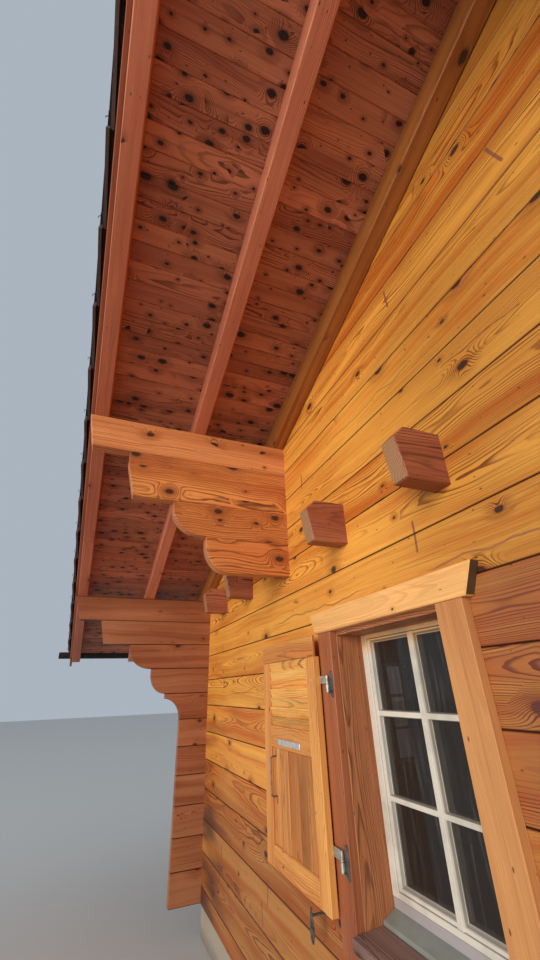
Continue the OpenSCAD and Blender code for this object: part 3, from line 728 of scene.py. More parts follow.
    # Zinc darkened by patina and, on the casing's hinge plates behind the leaf, by painted shade.
    dark_zinc: Steel = Steel("dark_zinc", "fittings", bright=tint(120, 122, 114), dull=tint(62, 60, 56),
                             smooth=0.5, metal=0.8)
    bronze: Steel = Steel("bronzed_iron", "fittings", bright=tint(156, 132, 118), dull=tint(98, 78, 66),
                          smooth=0.42, metal=0.7)
    satin: Steel = Steel("satin_plate", "fittings", bright=tint(232, 228, 220), dull=tint(196, 194, 188),
                         rusty=0.0, smooth=0.3, metal=0.6)


PALETTE = Palette()


def span(first: float, second: float) -> Pair:
    """Two limits in order."""
    return min(first, second), max(first, second)


def dress(finish: Finish, *nodes: str) -> None:
    """Gives CAD nodes a finish."""
    for name in nodes:
        node = frame["nodes"][name]
        node.data.materials.clear()
        node.data.materials.append(finish.material)
        log.info("%s: CAD node in %s", name, finish.name)


class Plane(Enum):
    """The two axes of an outline, which is pushed along the third one."""

    XZ = (0, 2)
    YZ = (1, 2)
    XY = (0, 1)


X_AXIS, Y_AXIS, Z_AXIS = (1.0, 0.0, 0.0), (0.0, 1.0, 0.0), (0.0, 0.0, 1.0)
LEVEL = (0.0, 0.0, 0.0)
SLOPES = (("left", -1.0), ("right", 1.0))
GABLES = (("front", -1.0), ("back", 1.0))
HERE = (Matrix.Identity(4),)
MIRROR_X = Matrix.Diagonal((-1.0, 1.0, 1.0, 1.0))
MIRROR_Y = Matrix.Diagonal((1.0, -1.0, 1.0, 1.0))


@dataclass
class Joinery:
    """Collects eased timbers or fittings into one mesh, each with its own grain."""

    name: str
    places: Sequence[Matrix] = HERE
    points: list[Vector] = field(default_factory=list)
    faces: list[list[int]] = field(default_factory=list)
    grains: list[Point] = field(default_factory=list)
    planks: list[float] = field(default_factory=list)
    butts: list[float] = field(default_factory=list)
    count: int = 0

    def prism(self, plane: Plane, outline: Sequence[Pair], low: float, high: float, grain: Point,
              face: Point = Y_AXIS, ease: float = 0.002,
              trim: Callable[[Vector], Vector] = lambda spot: spot) -> None:
        """Pushes an outline into a solid with eased edges.

        Args:
            plane: where the outline lies.
            outline: its corners in order.
            low: where the solid starts along the third axis.
            high: where it ends.
            grain: direction of the wood's grain.
            face: direction into the wood, square to the grain.
            ease: width of the eased edges.
            trim: moves a corner before the edges are eased.
        """
        first, second = plane.value

        def corner(pair: Pair, depth: float) -> Vector:
            """A corner of the solid."""
            spot = [depth] * 3
            spot[first], spot[second] = pair
            return trim(Vector(spot))

        solid = bmesh.new()
        near = [solid.verts.new(corner(pair, low)) for pair in outline]
        away = [solid.verts.new(corner(pair, high)) for pair in outline]
        solid.faces.new(near)
        solid.faces.new(away)
        for k, vertex in enumerate(near):
            solid.faces.new((near[k - 1], vertex, away[k], away[k - 1]))
        self._keep(solid, Vector(grain), Vector(face), ease)

    def box(self, x: Pair, y: Pair, z: Pair, grain: Point, face: Point = Y_AXIS,
            ease: float = 0.002) -> None:
        """A squared piece with eased edges between three pairs of limits."""
        self.prism(Plane.XY, [(x[0], y[0]), (x[1], y[0]), (x[1], y[1]), (x[0], y[1])], z[0], z[1], grain,
                   face, ease)

    def rod(self, path: Sequence[Point], radius: float, sides: int = 12, ease: float = 0.0) -> None:
        """A round bar along a path of straight runs.

        Args:
            path: corners of its middle line.
            radius: half its thickness.
            sides: faces round it.
            ease: width of the eased ends.
        """
        spots = [Vector(spot) for spot in path]
        solid = bmesh.new()
        rings = []
        side = (spots[1] - spots[0]).orthogonal().normalized()
        for k, spot in enumerate(spots):
            before = (spot - spots[k - 1]).normalized() if k else (spots[1] - spot).normalized()
            after = (spots[k + 1] - spot).normalized() if k < len(spots) - 1 else before
            along = (before + after).normalized()
            side = (side - along * side.dot(along)).normalized()
            other = along.cross(side)
            spread = radius / max(0.5, along.dot(before))
            rings.append([solid.verts.new(spot + (side * math.cos(turn) + other * math.sin(turn)) * spread)
                          for turn in (math.tau * step / sides for step in range(sides))])
        for lower, upper in zip(rings, rings[1:]):
            for k in range(sides):
                solid.faces.new((lower[k - 1], lower[k], upper[k], upper[k - 1]))
        solid.faces.new(rings[0])
        solid.faces.new(rings[-1])
        self._keep(solid, Vector(Z_AXIS), Vector(Y_AXIS), ease, 1.2)

    def adopt(self, mesh: bpy.types.Mesh) -> None:
        """Sets a ready mesh with its own grain at every place."""
        grains = [tuple(item.vector) for item in mesh.attributes["grain"].data]
        planks = [item.value for item in mesh.attributes["plank"].data]
        spots = [vertex.co.copy() for vertex in mesh.vertices]
        faces = [list(polygon.vertices) for polygon in mesh.polygons]
        for place in self.places:
            self._add(place, spots, faces, grains, [number + self.count for number in planks],
                      [0.0] * len(faces))
            self.count += int(max(planks)) + 1

    def _keep(self, solid: bmesh.types.BMesh, grain: Vector, face: Vector, ease: float,
              sharp: float = 0.6) -> None:
        """Eases a solid and sets it at every place."""
        bmesh.ops.recalc_face_normals(solid, faces=solid.faces)
        solid.verts.ensure_lookup_table()
        low = [min(vertex.co[k] for vertex in solid.verts) for k in range(3)]
        high = [max(vertex.co[k] for vertex in solid.verts) for k in range(3)]
        heart = (Vector(low) + Vector(high)) / 2
        if ease:
            edges = [edge for edge in solid.edges if edge.calc_face_angle(0.0) > sharp]
            bmesh.ops.bevel(solid, geom=edges, offset=ease, segments=1, affect="EDGES", clamp_overlap=True)
        solid.verts.index_update()
        solid.normal_update()
        butts = [float(abs(polygon.normal.dot(grain)) > 0.8) for polygon in solid.faces]
        across = face.cross(grain)
        spots = [vertex.co.copy() for vertex in solid.verts]
        faces = [[vertex.index for vertex in polygon.verts] for polygon in solid.faces]
        grains = [((spot - heart).dot(grain), (spot - heart).dot(across), (spot - heart).dot(face))
                  for spot in spots]
        solid.free()
        for place in self.places:
            self.count += 1
            self._add(place, spots, faces, grains, [float(self.count)] * len(spots), butts)

    def _add(self, place: Matrix, spots: Sequence[Vector], faces: Sequence[Sequence[int]],
             grains: Sequence[Point], planks: Sequence[float], butts: Sequence[float]) -> None:
        """Adds one solid at a place, turned right side out where the place mirrors it."""
        start = len(self.points)
        first = sum(map(ord, self.name)) % 89 * 100.0
        flip = place.determinant() < 0
        self.points.extend(place @ spot for spot in spots)
        self.faces.extend([start + k for k in (reversed(polygon) if flip else polygon)] for polygon in faces)
        self.grains.extend(grains)
        self.planks.extend(first + number for number in planks)
        self.butts.extend(butts)

    def piece(self) -> bpy.types.Object:
        """Makes the object of all that was added."""
        mesh = bpy.data.meshes.new(self.name)
        mesh.from_pydata(self.points, [], self.faces)
        grain = mesh.attributes.new("grain", "FLOAT_VECTOR", "POINT")
        grain.data.foreach_set("vector", [part for row in self.grains for part in row])
        mesh.attributes.new("plank", "FLOAT", "POINT").data.foreach_set("value", self.planks)
        mesh.attributes.new("butt", "FLOAT", "FACE").data.foreach_set("value", self.butts)
        return bpy.data.objects.new(self.name, mesh)


def hand_over(piece: bpy.types.Object, finish: Finish, body: str = HOUSE,
              nodes: Sequence[str] = ()) -> None:
    """Dresses a finished piece, shades its round parts smooth and tells the frame about it.

    Args:
        piece: the object, in place.
        finish: its finish.
        body: the body that it rides on.
        nodes: the CAD nodes that it replaces.
    """
    mesh = piece.data
    mesh.materials.clear()
    mesh.materials.append(finish.material)
    mesh.shade_smooth()
    mesh.set_sharp_from_angle(angle=math.radians(28))
    mesh.validate()
    if piece.name not in bpy.context.scene.collection.objects:
        bpy.context.scene.collection.objects.link(piece)
    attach(piece, body)
    if nodes:
        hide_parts(*nodes)
    log.info("%s: %d faces on %s%s", piece.name, len(mesh.polygons), body,
             ", for " + ", ".join(nodes) if nodes else "")


def assemble(name: str, finish: Finish, *makers: Callable[[Joinery], None],
             nodes: tuple[str, ...] = (), body: str = HOUSE, places: Sequence[Matrix] = HERE) -> None:
    """Makes one piece and hands it to the frame.

    Args:
        name: the piece's name.
        finish: its finish.
        makers: what adds its timbers or fittings, in order.
        nodes: the CAD nodes that it replaces.
        body: the body that it rides on.
        places: where each timber is set.
    """
    joinery = Joinery(name, places)
    for make in makers:
        make(joinery)
    hand_over(joinery.piece(), finish, body, nodes)


class Recipe:
    """A Geometry Nodes tree with named dials, grown into plain meshes."""

    def __init__(self, name: str, whole: str, floats: str, vectors: str = "Start Step Turn") -> None:
        """Starts the tree with its dials.

        Args:
            name: the tree's name.
            whole: names of the dials that take whole numbers.
            floats: names of the dials that take any number.
            vectors: names of the dials that take a vector.
        """
        self.tree = bpy.data.node_groups.new(name, "GeometryNodeTree")
        dials = {"Int": whole, "Float": floats, "Vector": vectors, "Material": "Finish"}
        for kind, names in dials.items():
            for dial in names.split():
                self.tree.interface.new_socket(dial, in_out="INPUT", socket_type="NodeSocket" + kind)
        self.tree.interface.new_socket("Geometry", in_out="OUTPUT", socket_type="NodeSocketGeometry")
        self.bench = Bench(self.tree)
        self._dials = self.bench.add("NodeGroupInput", {})

    def __getitem__(self, name: str) -> Wire:
        """The wire of a named dial."""
        return self._dials.out(name)

    def place(self) -> tuple[Wire, Wire, Wire]:
        """The three parts of a point's position."""
        return self.bench.add("GeometryNodeInputPosition", {}).split()

    def index(self) -> Wire:
        """The number of a point or instance."""
        return self.bench.add("GeometryNodeInputIndex", {})

    def stride(self, number: Wire) -> Wire:
        """Place of a numbered piece, from Start in steps of Step."""
        return self.bench.vectors("ADD", self["Start"], self.bench.scale(self["Step"], number))

    def luck(self, low: float, high: float, seed: int) -> Wire:
        """A random number for each element from a fixed seed."""
        return self.bench.add("FunctionNodeRandomValue", {"data_type": "FLOAT"},
                              {2: low, 3: high, "Seed": seed}, 1)

    def store(self, geometry: Wire, name: str, value: Wire, domain: str = "POINT") -> Wire:
        """Stores an attribute on a geometry."""
        kind = "FLOAT_VECTOR" if name == "grain" else "FLOAT"
        return self.bench.add("GeometryNodeStoreNamedAttribute", {"data_type": kind, "domain": domain},
                              {"Geometry": geometry, "Name": name, "Value": value})

    def block(self, size: Wire, columns: int, shape: Callable[[Wire, Wire, Wire], Wire],
              rows: int = 2) -> Wire:
        """A closed block whose points a rule moves.

        Args:
            size: the block's size before it is shaped.
            columns: points along X.
            shape: gives a point's new place from its old one.
            rows: points along Y.

        Returns:
            The shaped mesh.
        """
        mesh = self.bench.add("GeometryNodeMeshCube", {}, [size, columns, rows, 2])
        return self.move(mesh, shape(*self.place()))

    def move(self, geometry: Wire, place: Wire) -> Wire:
        """Sets a geometry's points at new places."""
        return self.bench.add("GeometryNodeSetPosition", {}, {"Geometry": geometry, "Position": place})

    def repeat(self, piece: Wire, count: Term, spot: Callable[[Wire], Wire], turn: Any) -> Wire:
        """Sets a piece at numbered places.

        Args:
            piece: what is repeated.
            count: how often.
            spot: gives the place from the number.
            turn: rotation of each piece.

        Returns:
            The instances, each with its number as plank.
        """
        line = self.move(self.bench.add("GeometryNodeMeshLine", {}, {"Count": count}), spot(self.index()))
        row = self.bench.add("GeometryNodeInstanceOnPoints", {},
                             {"Points": line, "Instance": piece, "Rotation": turn})
        return self.store(row, "plank", self.index() + 1.0, "INSTANCE")

    def close(self, geometry: Wire) -> "Recipe":
        """Ends the tree in Realize Instances and Set Material."""
        real = self.bench.add("GeometryNodeRealizeInstances", {}, {"Geometry": geometry})
        dressed = self.bench.add("GeometryNodeSetMaterial", {},
                                 {"Geometry": real, "Material": self["Finish"]})
        self.bench.add("NodeGroupOutput", {}, {"Geometry": dressed})
        return self

    def grow(self, name: str, finish: Finish, **settings: Any) -> bpy.types.Object:
        """Runs the tree and keeps its result as a plain mesh.

        Args:
            name: the new object's name.
            finish: its finish.
            settings: a value for each dial.

        Returns:
            The object, which isn't yet handed to the frame.
        """
        piece = bpy.data.objects.new(name, bpy.data.meshes.new(name + "_start"))
        bpy.context.scene.collection.objects.link(piece)
        modifier = piece.modifiers.new("grow", "NODES")
        modifier.node_group = self.tree
        settings["Finish"] = finish.material
        for item in self.tree.interface.items_tree:
            if item.in_out == "INPUT":
                modifier[item.identifier] = settings[item.name]
        graph = bpy.context.evaluated_depsgraph_get()
        mesh = bpy.data.meshes.new_from_object(piece.evaluated_get(graph), preserve_all_data_layers=True,
                                               depsgraph=graph)
        piece.modifiers.remove(modifier)
        piece.data = mesh
        mesh.name = name
        return piece

    def lay(self, name: str, finish: Finish, nodes: Sequence[str] = (), **settings: Any) -> None:
        """Grows a piece of the house and hands it to the frame."""
        hand_over(self.grow(name, finish, **settings), finish, nodes=nodes)


@dataclass
class RoofTimbers:
    """Rafters and barge boards of both slopes."""

    verge_rows: tuple[float, ...] = (4.778, 4.19)
    wall_row: float = 3.643
    inner_rows: tuple[float, ...] = (3.0, 2.4, 1.8, 1.2, 0.6)
    width: float = 0.08
    barge: float = 0.022
    barge_height: float = 0.15
    boards_end: float = 5.87

    def band(self, reach: float, low: float, high: float) -> list[Pair]:
        """Outline between two depths over the rafters' undersides, out to a reach."""
        return [(0.0005, SIZES.up(0, low)), (reach, SIZES.up(reach, low)),
                (reach, SIZES.up(reach, high)), (0.0005, SIZES.up(0, high))]

    def rafters(self, joinery: Joinery, rows: Sequence[float]) -> None:
        """Rafters of the right slope at these places along the house."""
        for y in rows:
            joinery.prism(Plane.XZ, self.band(SIZES.tail, 0.0, SIZES.rafter), y - self.width / 2,
                          y + self.width / 2, DOWN, Y_AXIS, 0.004)

    def barges(self, joinery: Joinery) -> None:
        """The barge board of one slope and verge."""
        top = SIZES.rafter + SIZES.play + SIZES.board
        joinery.prism(Plane.XZ, self.band(self.boards_end, top - self.barge_height, top),
                      SIZES.verge, SIZES.verge + self.barge, DOWN, Y_AXIS, 0.003)

    def build(self) -> None:
        """Makes both rafter sets and the barge boards."""
        rows = (*self.verge_rows, *self.inner_rows)
        rows = (*(-row for row in rows), 0.0, *reversed(rows))
        for side, place in (("left", MIRROR_X), ("right", HERE[0])):
            assemble(f"{side}_rafter_set", PALETTE.rafters, partial(self.rafters, rows=rows),
                     nodes=(f"{side}_rafters",), places=(place,))
            assemble(f"{side}_wall_rafters", PALETTE.wall_rafters,
                     partial(self.rafters, rows=(-self.wall_row, self.wall_row)), places=(place,))
        assemble("barge_board_set", PALETTE.barges, self.barges, nodes=("barge_boards",),
                 places=(HERE[0], MIRROR_Y, MIRROR_X, MIRROR_X @ MIRROR_Y))


@dataclass
class RoofBoards:
    """Tongued and grooved soffit boards, laid across the rafters along the whole roof."""

    count: int = 68
    groove: float = 0.0035
    reach: float = 5.87
    ridge_gap: float = 0.006

    def recipe(self) -> Recipe:
        """The tree of one slope's boards."""
        tree = Recipe("board_rows", "Boards", "Cover Length Thickness Groove")
        bench = tree.bench
        cover, thick, groove = tree["Cover"], tree["Thickness"], tree["Groove"]

        def shape(x: Wire, y: Wire, z: Wire) -> Wire:
            """Tucks the lower arrises in and keeps the upper edge full."""
            edge = (abs(x) - 2.5).math("SIGN", abs(x) - 2.5) * 0.5 + 0.5
            side = x.math("SIGN", x)
            across = side * (cover / 2 - 0.0002 - (1.0 - edge) * groove)
            lift = edge * (z < 0.0) * groove
            return bench.vector(across, y, z * thick + lift)

        board = tree.block(bench.vector(6.0, tree["Length"], 1.0), 4, shape)
        x, y, z = tree.place()
        board = tree.store(board, "grain", bench.vector(y, x, z))
        return tree.close(tree.repeat(board, tree["Boards"], tree.stride, tree["Turn"]))

    def build(self) -> None:
        """Lays the boards on both slopes."""
        tree = self.recipe()
        depth = SIZES.rafter + SIZES.play + SIZES.board / 2
        run = self.reach / math.cos(SIZES.pitch) / self.count
        down = Vector(DOWN)
        for side, sign in SLOPES:
            start = Vector((0.0, 0.0, SIZES.up(0, depth))) + down * (run / 2 + self.ridge_gap)
            start.x *= sign
            step = down * (run - self.ridge_gap / self.count)
            step.x *= sign
            tree.lay(f"{side}_soffit_boards", PALETTE.soffit, (f"{side}_roof_boards",),
                     Boards=self.count, Cover=run, Length=2 * SIZES.verge, Thickness=SIZES.board,
                     Groove=self.groove, Start=tuple(start), Step=tuple(step),
                     Turn=(0.0, sign * SIZES.pitch, 0.0))


@dataclass
class RoofTiles:
    """Rolled clay tiles in courses with rims at the verges, the ridge row and wire hooks."""

    courses: int = 17
    columns: int = 33
    edge_x: float = 5.915
    edge_y: float = 4.886
    lower: float = 0.062
    upper: float = 0.036
    lap: float = 0.06
    roll: float = 0.02
    butt: float = 0.022
    tip: float = 0.01
    rim: float = 0.014
    rim_drop: float = 0.064
    rim_taper: float = 0.016
    rim_lap: float = 0.012
    ridge_tiles: int = 24
    ridge_radius: float = 0.115
    ridge_wall: float = 0.016
    hook: float = 0.016
    hook_wire: float = 0.0018
    hook_share: float = 0.93

    def over(self, x: float) -> float:
        """Height of the boards' top over a distance from the ridge."""
        return SIZES.up(x, SIZES.rafter + SIZES.play + SIZES.board)

    def field_recipe(self) -> Recipe:
        """The tree of one slope's tiles."""
        tree = Recipe("tile_field", "Columns Courses", "Cover Length Roll Butt Tip")
        bench = tree.bench
        cover, length, roll = tree["Cover"], tree["Length"], tree["Roll"]

        def shape(x: Wire, y: Wire, z: Wire) -> Wire:
            """Lays a big roll at one side, a small one in the middle, and thins the upper end."""
            share = x + 0.5
            big = abs(share - 0.88).fade(0.14, 0.0) * roll
            small = abs(share - 0.42).fade(0.09, 0.0) * roll * 0.5
            thick = (y / length + 0.5) * (tree["Tip"] - tree["Butt"]) + tree["Butt"]
            return bench.vector((share - 0.5) * cover, y, big + small - (z < 0.0) * thick)

        tile = tree.block(bench.vector(1.0, length, 1.0), 15, shape)
        columns = tree["Columns"]

        def spot(number: Wire) -> Wire:
            """Place of a numbered tile with a little unevenness."""
            course = (number / columns + 0.0001).floor()
            column = number - course * columns
            uneven = bench.vector(0.0, (column + 0.5) * cover, tree.luck(-0.0015, 0.0, 3))
            return bench.vectors("ADD", tree.stride(course), uneven)

        wobble = bench.vector(tree.luck(-0.006, 0.0, 7), tree.luck(-0.004, 0.004, 11), 0.0)
        return tree.close(tree.repeat(tile, columns * tree["Courses"], spot,
                                      bench.vectors("ADD", tree["Turn"], wobble)))

    def rim_recipe(self) -> Recipe:
        """The tree of the down-turned rims of one verge's tiles."""
        tree = Recipe("verge_rims", "Courses", "Length Thickness Drop Taper Side")
        bench = tree.bench
        length, side = tree["Length"], tree["Side"]

        def shape(x: Wire, y: Wire, z: Wire) -> Wire:
            """Draws the rim's foot in and hangs it under the tile's surface."""
            share = y / length + 0.5
            inward = (0.5 - x * side) * tree["Thickness"] + (1.0 - share) * tree["Taper"]
            return bench.vector(inward * side * -1.0, y, (z + 0.5) * (tree["Drop"] + 0.012) - tree["Drop"])

        rim = tree.block(bench.vector(1.0, length, 1.0), 3, shape)
        return tree.close(tree.repeat(rim, tree["Courses"], tree.stride, tree["Turn"]))

    def ridge_recipe(self) -> Recipe:
        """The tree of the half-round ridge row."""
        tree = Recipe("ridge_row", "Tiles", "Run Radius Wall Bend", "Start")
        bench = tree.bench

        def shape(x: Wire, y: Wire, z: Wire) -> Wire:
            """Bends the block over the ridge, wider where it covers its neighbour."""
            angle = x * tree["Bend"] * 2.0
            collar = (y / tree["Run"]).fade(0.30, 0.34) * 0.35
            reach = tree["Radius"] + tree["Wall"] * (collar - (z < 0.0))
            return bench.vector(reach * angle.math("SINE", angle), y, reach * angle.math("COSINE", angle))

        tile = tree.block(bench.vector(1.0, tree["Run"], 1.0), 13, shape, 8)

        def spot(number: Wire) -> Wire:
            """Place of a numbered tile."""
            return bench.vectors("ADD", tree["Start"], bench.vector(0.0, (number + 0.5) * tree["Run"], 0.0))

        return tree.close(tree.repeat(tile, tree["Tiles"], spot, LEVEL))

    def hook_recipe(self) -> Recipe:
        """The tree of the wire hooks on one verge."""
        tree = Recipe("verge_hooks", "Hooks", "Height Wire", "Start Step")
        bench = tree.bench
        arch = bench.add("GeometryNodeCurveArc", {}, {"Resolution": 9, "Radius": tree["Height"],
                                                      "Start Angle": -0.5, "Sweep Angle": math.pi + 0.9})
        ring = bench.add("GeometryNodeCurvePrimitiveCircle", {}, {"Resolution": 5, "Radius": tree["Wire"]})
        loop = bench.add("GeometryNodeCurveToMesh", {}, {"Curve": arch, "Profile Curve": ring,
                                                         "Fill Caps": True})
        turn = bench.vector(math.pi / 2, 0.0, tree.luck(-0.3, 0.3, 5) + math.pi / 2)
        return tree.close(tree.repeat(loop, tree["Hooks"], tree.stride, turn))

    def build(self) -> None:
        """Tiles both slopes, sets the ridge row and hangs the hooks."""
        tiles, ridge, hooks, rims = (self.field_recipe(), self.ridge_recipe(), self.hook_recipe(),
                                     self.rim_recipe())
        run = self.edge_x / self.courses
        low = Vector((run, 0.0, self.over(run) + self.lower - self.roll))
        high = Vector((0.0, 0.0, self.over(0) + self.upper - self.roll))
        up = (high - low).normalized()
        exposure = (high - low).length
        cover = 2 * self.edge_y / self.columns
        for side, sign in SLOPES:
            middle = low + up * (exposure + self.lap) / 2
            start = Vector((sign * middle.x, -self.edge_y, middle.z))
            step = Vector((sign * run, 0.0, self.over(run) - self.over(0)))
            tilt = math.atan2(up.z, -up.x)
            turn = Matrix.Rotation(sign * math.pi / 2, 4, "Z") @ Matrix.Rotation(tilt, 4, "X")
            run_down = {"Courses": self.courses, "Step": tuple(step), "Turn": tuple(turn.to_euler())}
            tiles.lay(f"{side}_tile_courses", PALETTE.tiles, (f"{side}_roof_tiles",),
                      Columns=self.columns, Cover=cover, Length=exposure + self.lap, Roll=self.roll,
                      Butt=self.butt, Tip=self.tip, Start=tuple(start), **run_down)
            for end, y in GABLES:
                edge = low + up * (exposure + self.rim_lap) / 2
                rims.lay(f"{side}_{end}_rims", PALETTE.tiles, Length=exposure + self.rim_lap,
                         Thickness=self.rim, Drop=self.rim_drop, Taper=self.rim_taper, Side=sign * y,
                         Start=(sign * edge.x, y * self.edge_y, edge.z), **run_down)
        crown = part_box("ridge_tiles")[1][2]
        ridge.lay("ridge_tile_row", PALETTE.tiles, ("ridge_tiles",), Tiles=self.ridge_tiles,
                  Run=2 * self.edge_y / self.ridge_tiles, Radius=self.ridge_radius,
                  Wall=self.ridge_wall, Bend=math.radians(78),
                  Start=(0.0, -self.edge_y, crown - self.ridge_radius - 0.006))
        reach = run * self.hook_share
        for side, sign in SLOPES:
            for end, y in GABLES:
                hooks.lay(f"{side}_{end}_hooks", PALETTE.wire, Hooks=self.courses, Height=self.hook,
                          Wire=self.hook_wire, Step=(sign * run, 0.0, self.over(run) - self.over(0)),
                          Start=(sign * reach, y * (self.edge_y - 0.003),
                                 self.over(reach) + self.lower - 0.03))


@dataclass
class Gutters:
    """Half-round gutters with a rolled lip, closed ends and strap brackets under both eaves."""

    middle: Pair = (5.9323, 2.0452)
    radius: float = 0.062
    wall: float = 0.003
    end: float = 4.97
    bead: float = 0.008
    gap: float = 0.0004
    straps: int = 17
    strap_step: float = 0.6
    strap_width: float = 0.025
    strap_wall: float = 0.0032
    strap_start: float = 184.0
    strap_turn: float = 146.0

    def arc(self, radius: float, start: float, stop: float, steps: int = 20) -> list[Pair]:
        """Points of an arc round the channel's middle line, in degrees."""
        turns = [math.radians(start + (stop - start) * step / steps) for step in range(steps + 1)]
        return [(self.middle[0] + radius * math.cos(turn), self.middle[1] + radius * math.sin(turn))
                for turn in turns]

    def channel(self, joinery: Joinery) -> None:
        """The channel with its closed ends and its lip."""
        inner = self.radius - self.wall
        joinery.prism(Plane.XZ, self.arc(self.radius, 180, 360) + self.arc(inner, 360, 180),
                      -self.end, self.end, Y_AXIS, Z_AXIS, 0.0)
        for y in (-self.end + self.gap, self.end - self.gap - self.wall):
            joinery.prism(Plane.XZ, self.arc(inner - self.gap, 180, 360), y, y + self.wall, Y_AXIS,
                          Z_AXIS, 0.0)
        x, z = self.middle[0] + self.radius - self.bead - self.gap, self.middle[1] + self.bead / 2
        joinery.rod([(x, -self.end, z), (x, self.end, z)], self.bead)

    def strap_recipe(self) -> Recipe:
        """The tree of one gutter's strap brackets."""
        tree = Recipe("gutter_straps", "Straps", "Radius")
        bench = tree.bench

        def shape(x: Wire, y: Wire, z: Wire) -> Wire:
            """Bends the strap round the channel."""
            angle = (x + 0.5) * math.radians(self.strap_turn) + math.radians(self.strap_start)
            reach = tree["Radius"] + (z > 0.0) * self.strap_wall
            return bench.vector(reach * angle.math("COSINE", angle), y, reach * angle.math("SINE", angle))

        strap = tree.block(bench.vector(1.0, self.strap_width, 1.0), 15, shape)
        return tree.close(tree.repeat(strap, tree["Straps"], tree.stride, tree["Turn"]))

    def build(self) -> None:
        """Hangs both gutters."""
        assemble("eaves_gutters", PALETTE.gutter, self.channel, places=(HERE[0], MIRROR_X))
        straps = self.strap_recipe()
        for side, sign in SLOPES:
            start = (sign * self.middle[0], -(self.straps - 1) / 2 * self.strap_step + 0.02, self.middle[1])
            straps.lay(f"{side}_gutter_straps", PALETTE.gutter, Straps=self.straps,
                       Radius=self.radius + 0.0003, Start=start, Step=(0.0, self.strap_step, 0.0),
                       Turn=(0.0, 0.0, 0.0 if sign > 0 else math.pi))


@dataclass
class Timbers:
    """Purlins, stepped and scrolled corbel logs, and ceiling joists."""

    purlin_x: tuple[float, ...] = (-2.611, 0.0, 2.611)
    half_purlin: float = 0.038
    purlin_height: float = 0.194
    purlin_end: float = 4.84
    purlin_rake: float = 0.04
    half_log: float = 0.035
    inner: float = 3.53
    long: float = 0.99
    slant: float = 0.046
    middle: float = 0.714
    short: float = 0.515
    cove: float = 0.378
    scroll: float = 0.16
    joist_x: tuple[float, ...] = (0.673, 1.319, 1.965, 3.257, 3.903)
    joist_end: float = 3.803
    joist_rake: float = 0.026
    joist_bevel: float = 0.05
    half_joist: float = 0.037
    joist_z: Pair = (2.2, 2.4)

    def foot(self, x: float) -> float:
        """Height of the purlin's underside."""
        return SIZES.under(x) - self.purlin_height

    def purlin(self, joinery: Joinery, x: float) -> None:
        """One purlin with a roof-shaped top and raked ends."""
        foot, w = self.foot(x), self.half_purlin

        def rake(spot: Vector) -> Vector:
            """Leans the ends back towards the foot."""
            drop = 1.0 - (spot.z - foot) / (self.purlin_height + 0.02)
            spot.y -= math.copysign(self.purlin_rake * max(0.0, drop), spot.y)
            return spot

        joinery.prism(Plane.XZ, [(x - w, foot), (x + w, foot), (x + w, SIZES.under(x + w)),
                                 (x, SIZES.under(x)), (x - w, SIZES.under(x - w))],
                      -self.purlin_end, self.purlin_end, Y_AXIS, X_AXIS, 0.004, rake)

    def nose(self, reach: float, below: float, foot: float) -> list[Pair]:
        """Outline of a log whose end is scrolled down to the reach of the log below it."""
        turns = [math.radians(90 * step / 20) for step in range(21)]
        top, tip = foot + SIZES.course, -SIZES.front - reach
        return [(-self.inner, foot), (-self.inner, top), (tip, top),
                *((tip + (reach - below) * (1 - math.cos(turn)),
                   foot + self.scroll * (1 - math.sin(turn))) for turn in turns)]

    def stack(self, joinery: Joinery, x: float) -> None:
        """The strip and the three corbel logs under one purlin's end."""
        foot = self.foot(x)
        top = SIZES.plinth + SIZES.course * math.floor((foot - SIZES.plinth) / SIZES.course)
        tip = -SIZES.front - self.long
        below = top - SIZES.course
        outlines = ([(-self.inner, top), (-self.inner, foot), (tip, foot), (tip, top)],
                    [(-self.inner, below), (-self.inner, top), (tip, top), (tip + self.slant, below)],
                    self.nose(self.middle, self.short, top - 2 * SIZES.course),
                    self.nose(self.short, self.cove, top - 3 * SIZES.course))
        for outline in outlines:
            joinery.prism(Plane.YZ, outline, x - self.half_log, x + self.half_log, Y_AXIS, X_AXIS, 0.003)

    def joists(self, joinery: Joinery) -> None:
        """The ceiling joists of one side with raked and bevelled ends."""
        end, foot, bevel = self.joist_end, self.joist_end - self.joist_rake, self.joist_bevel
        low, high = self.joist_z
        outline = [(-foot, low), (foot, low), (end, high - bevel), (end - bevel, high),
                   (bevel - end, high), (-end, high - bevel)]
        for x in self.joist_x:
            joinery.prism(Plane.YZ, outline, x - self.half_joist, x + self.half_joist, Y_AXIS,
                          X_AXIS, 0.004)

    def build(self) -> None:
        """Makes the purlins, the corbels of both gables and the joists."""
        left, middle, right = (partial(self.purlin, x=x) for x in self.purlin_x)
        assemble("mid_purlin_pair", PALETTE.purlins, left, right, nodes=("mid_purlins",))
        assemble("ridge_purlin_bar", PALETTE.purlins, middle, nodes=("ridge_purlin",))
        stacks = [partial(self.stack, x=x) for x in self.purlin_x]
        for end, place in (("front", HERE[0]), ("back", MIRROR_Y)):
            assemble(f"{end}_corbel_logs", PALETTE.corbels, *stacks, nodes=(f"{end}_corbels",),
                     places=(place,))
        assemble("ceiling_joist_set", PALETTE.joists, self.joists, nodes=("ceiling_joists",),
                 places=(HERE[0], MIRROR_X))


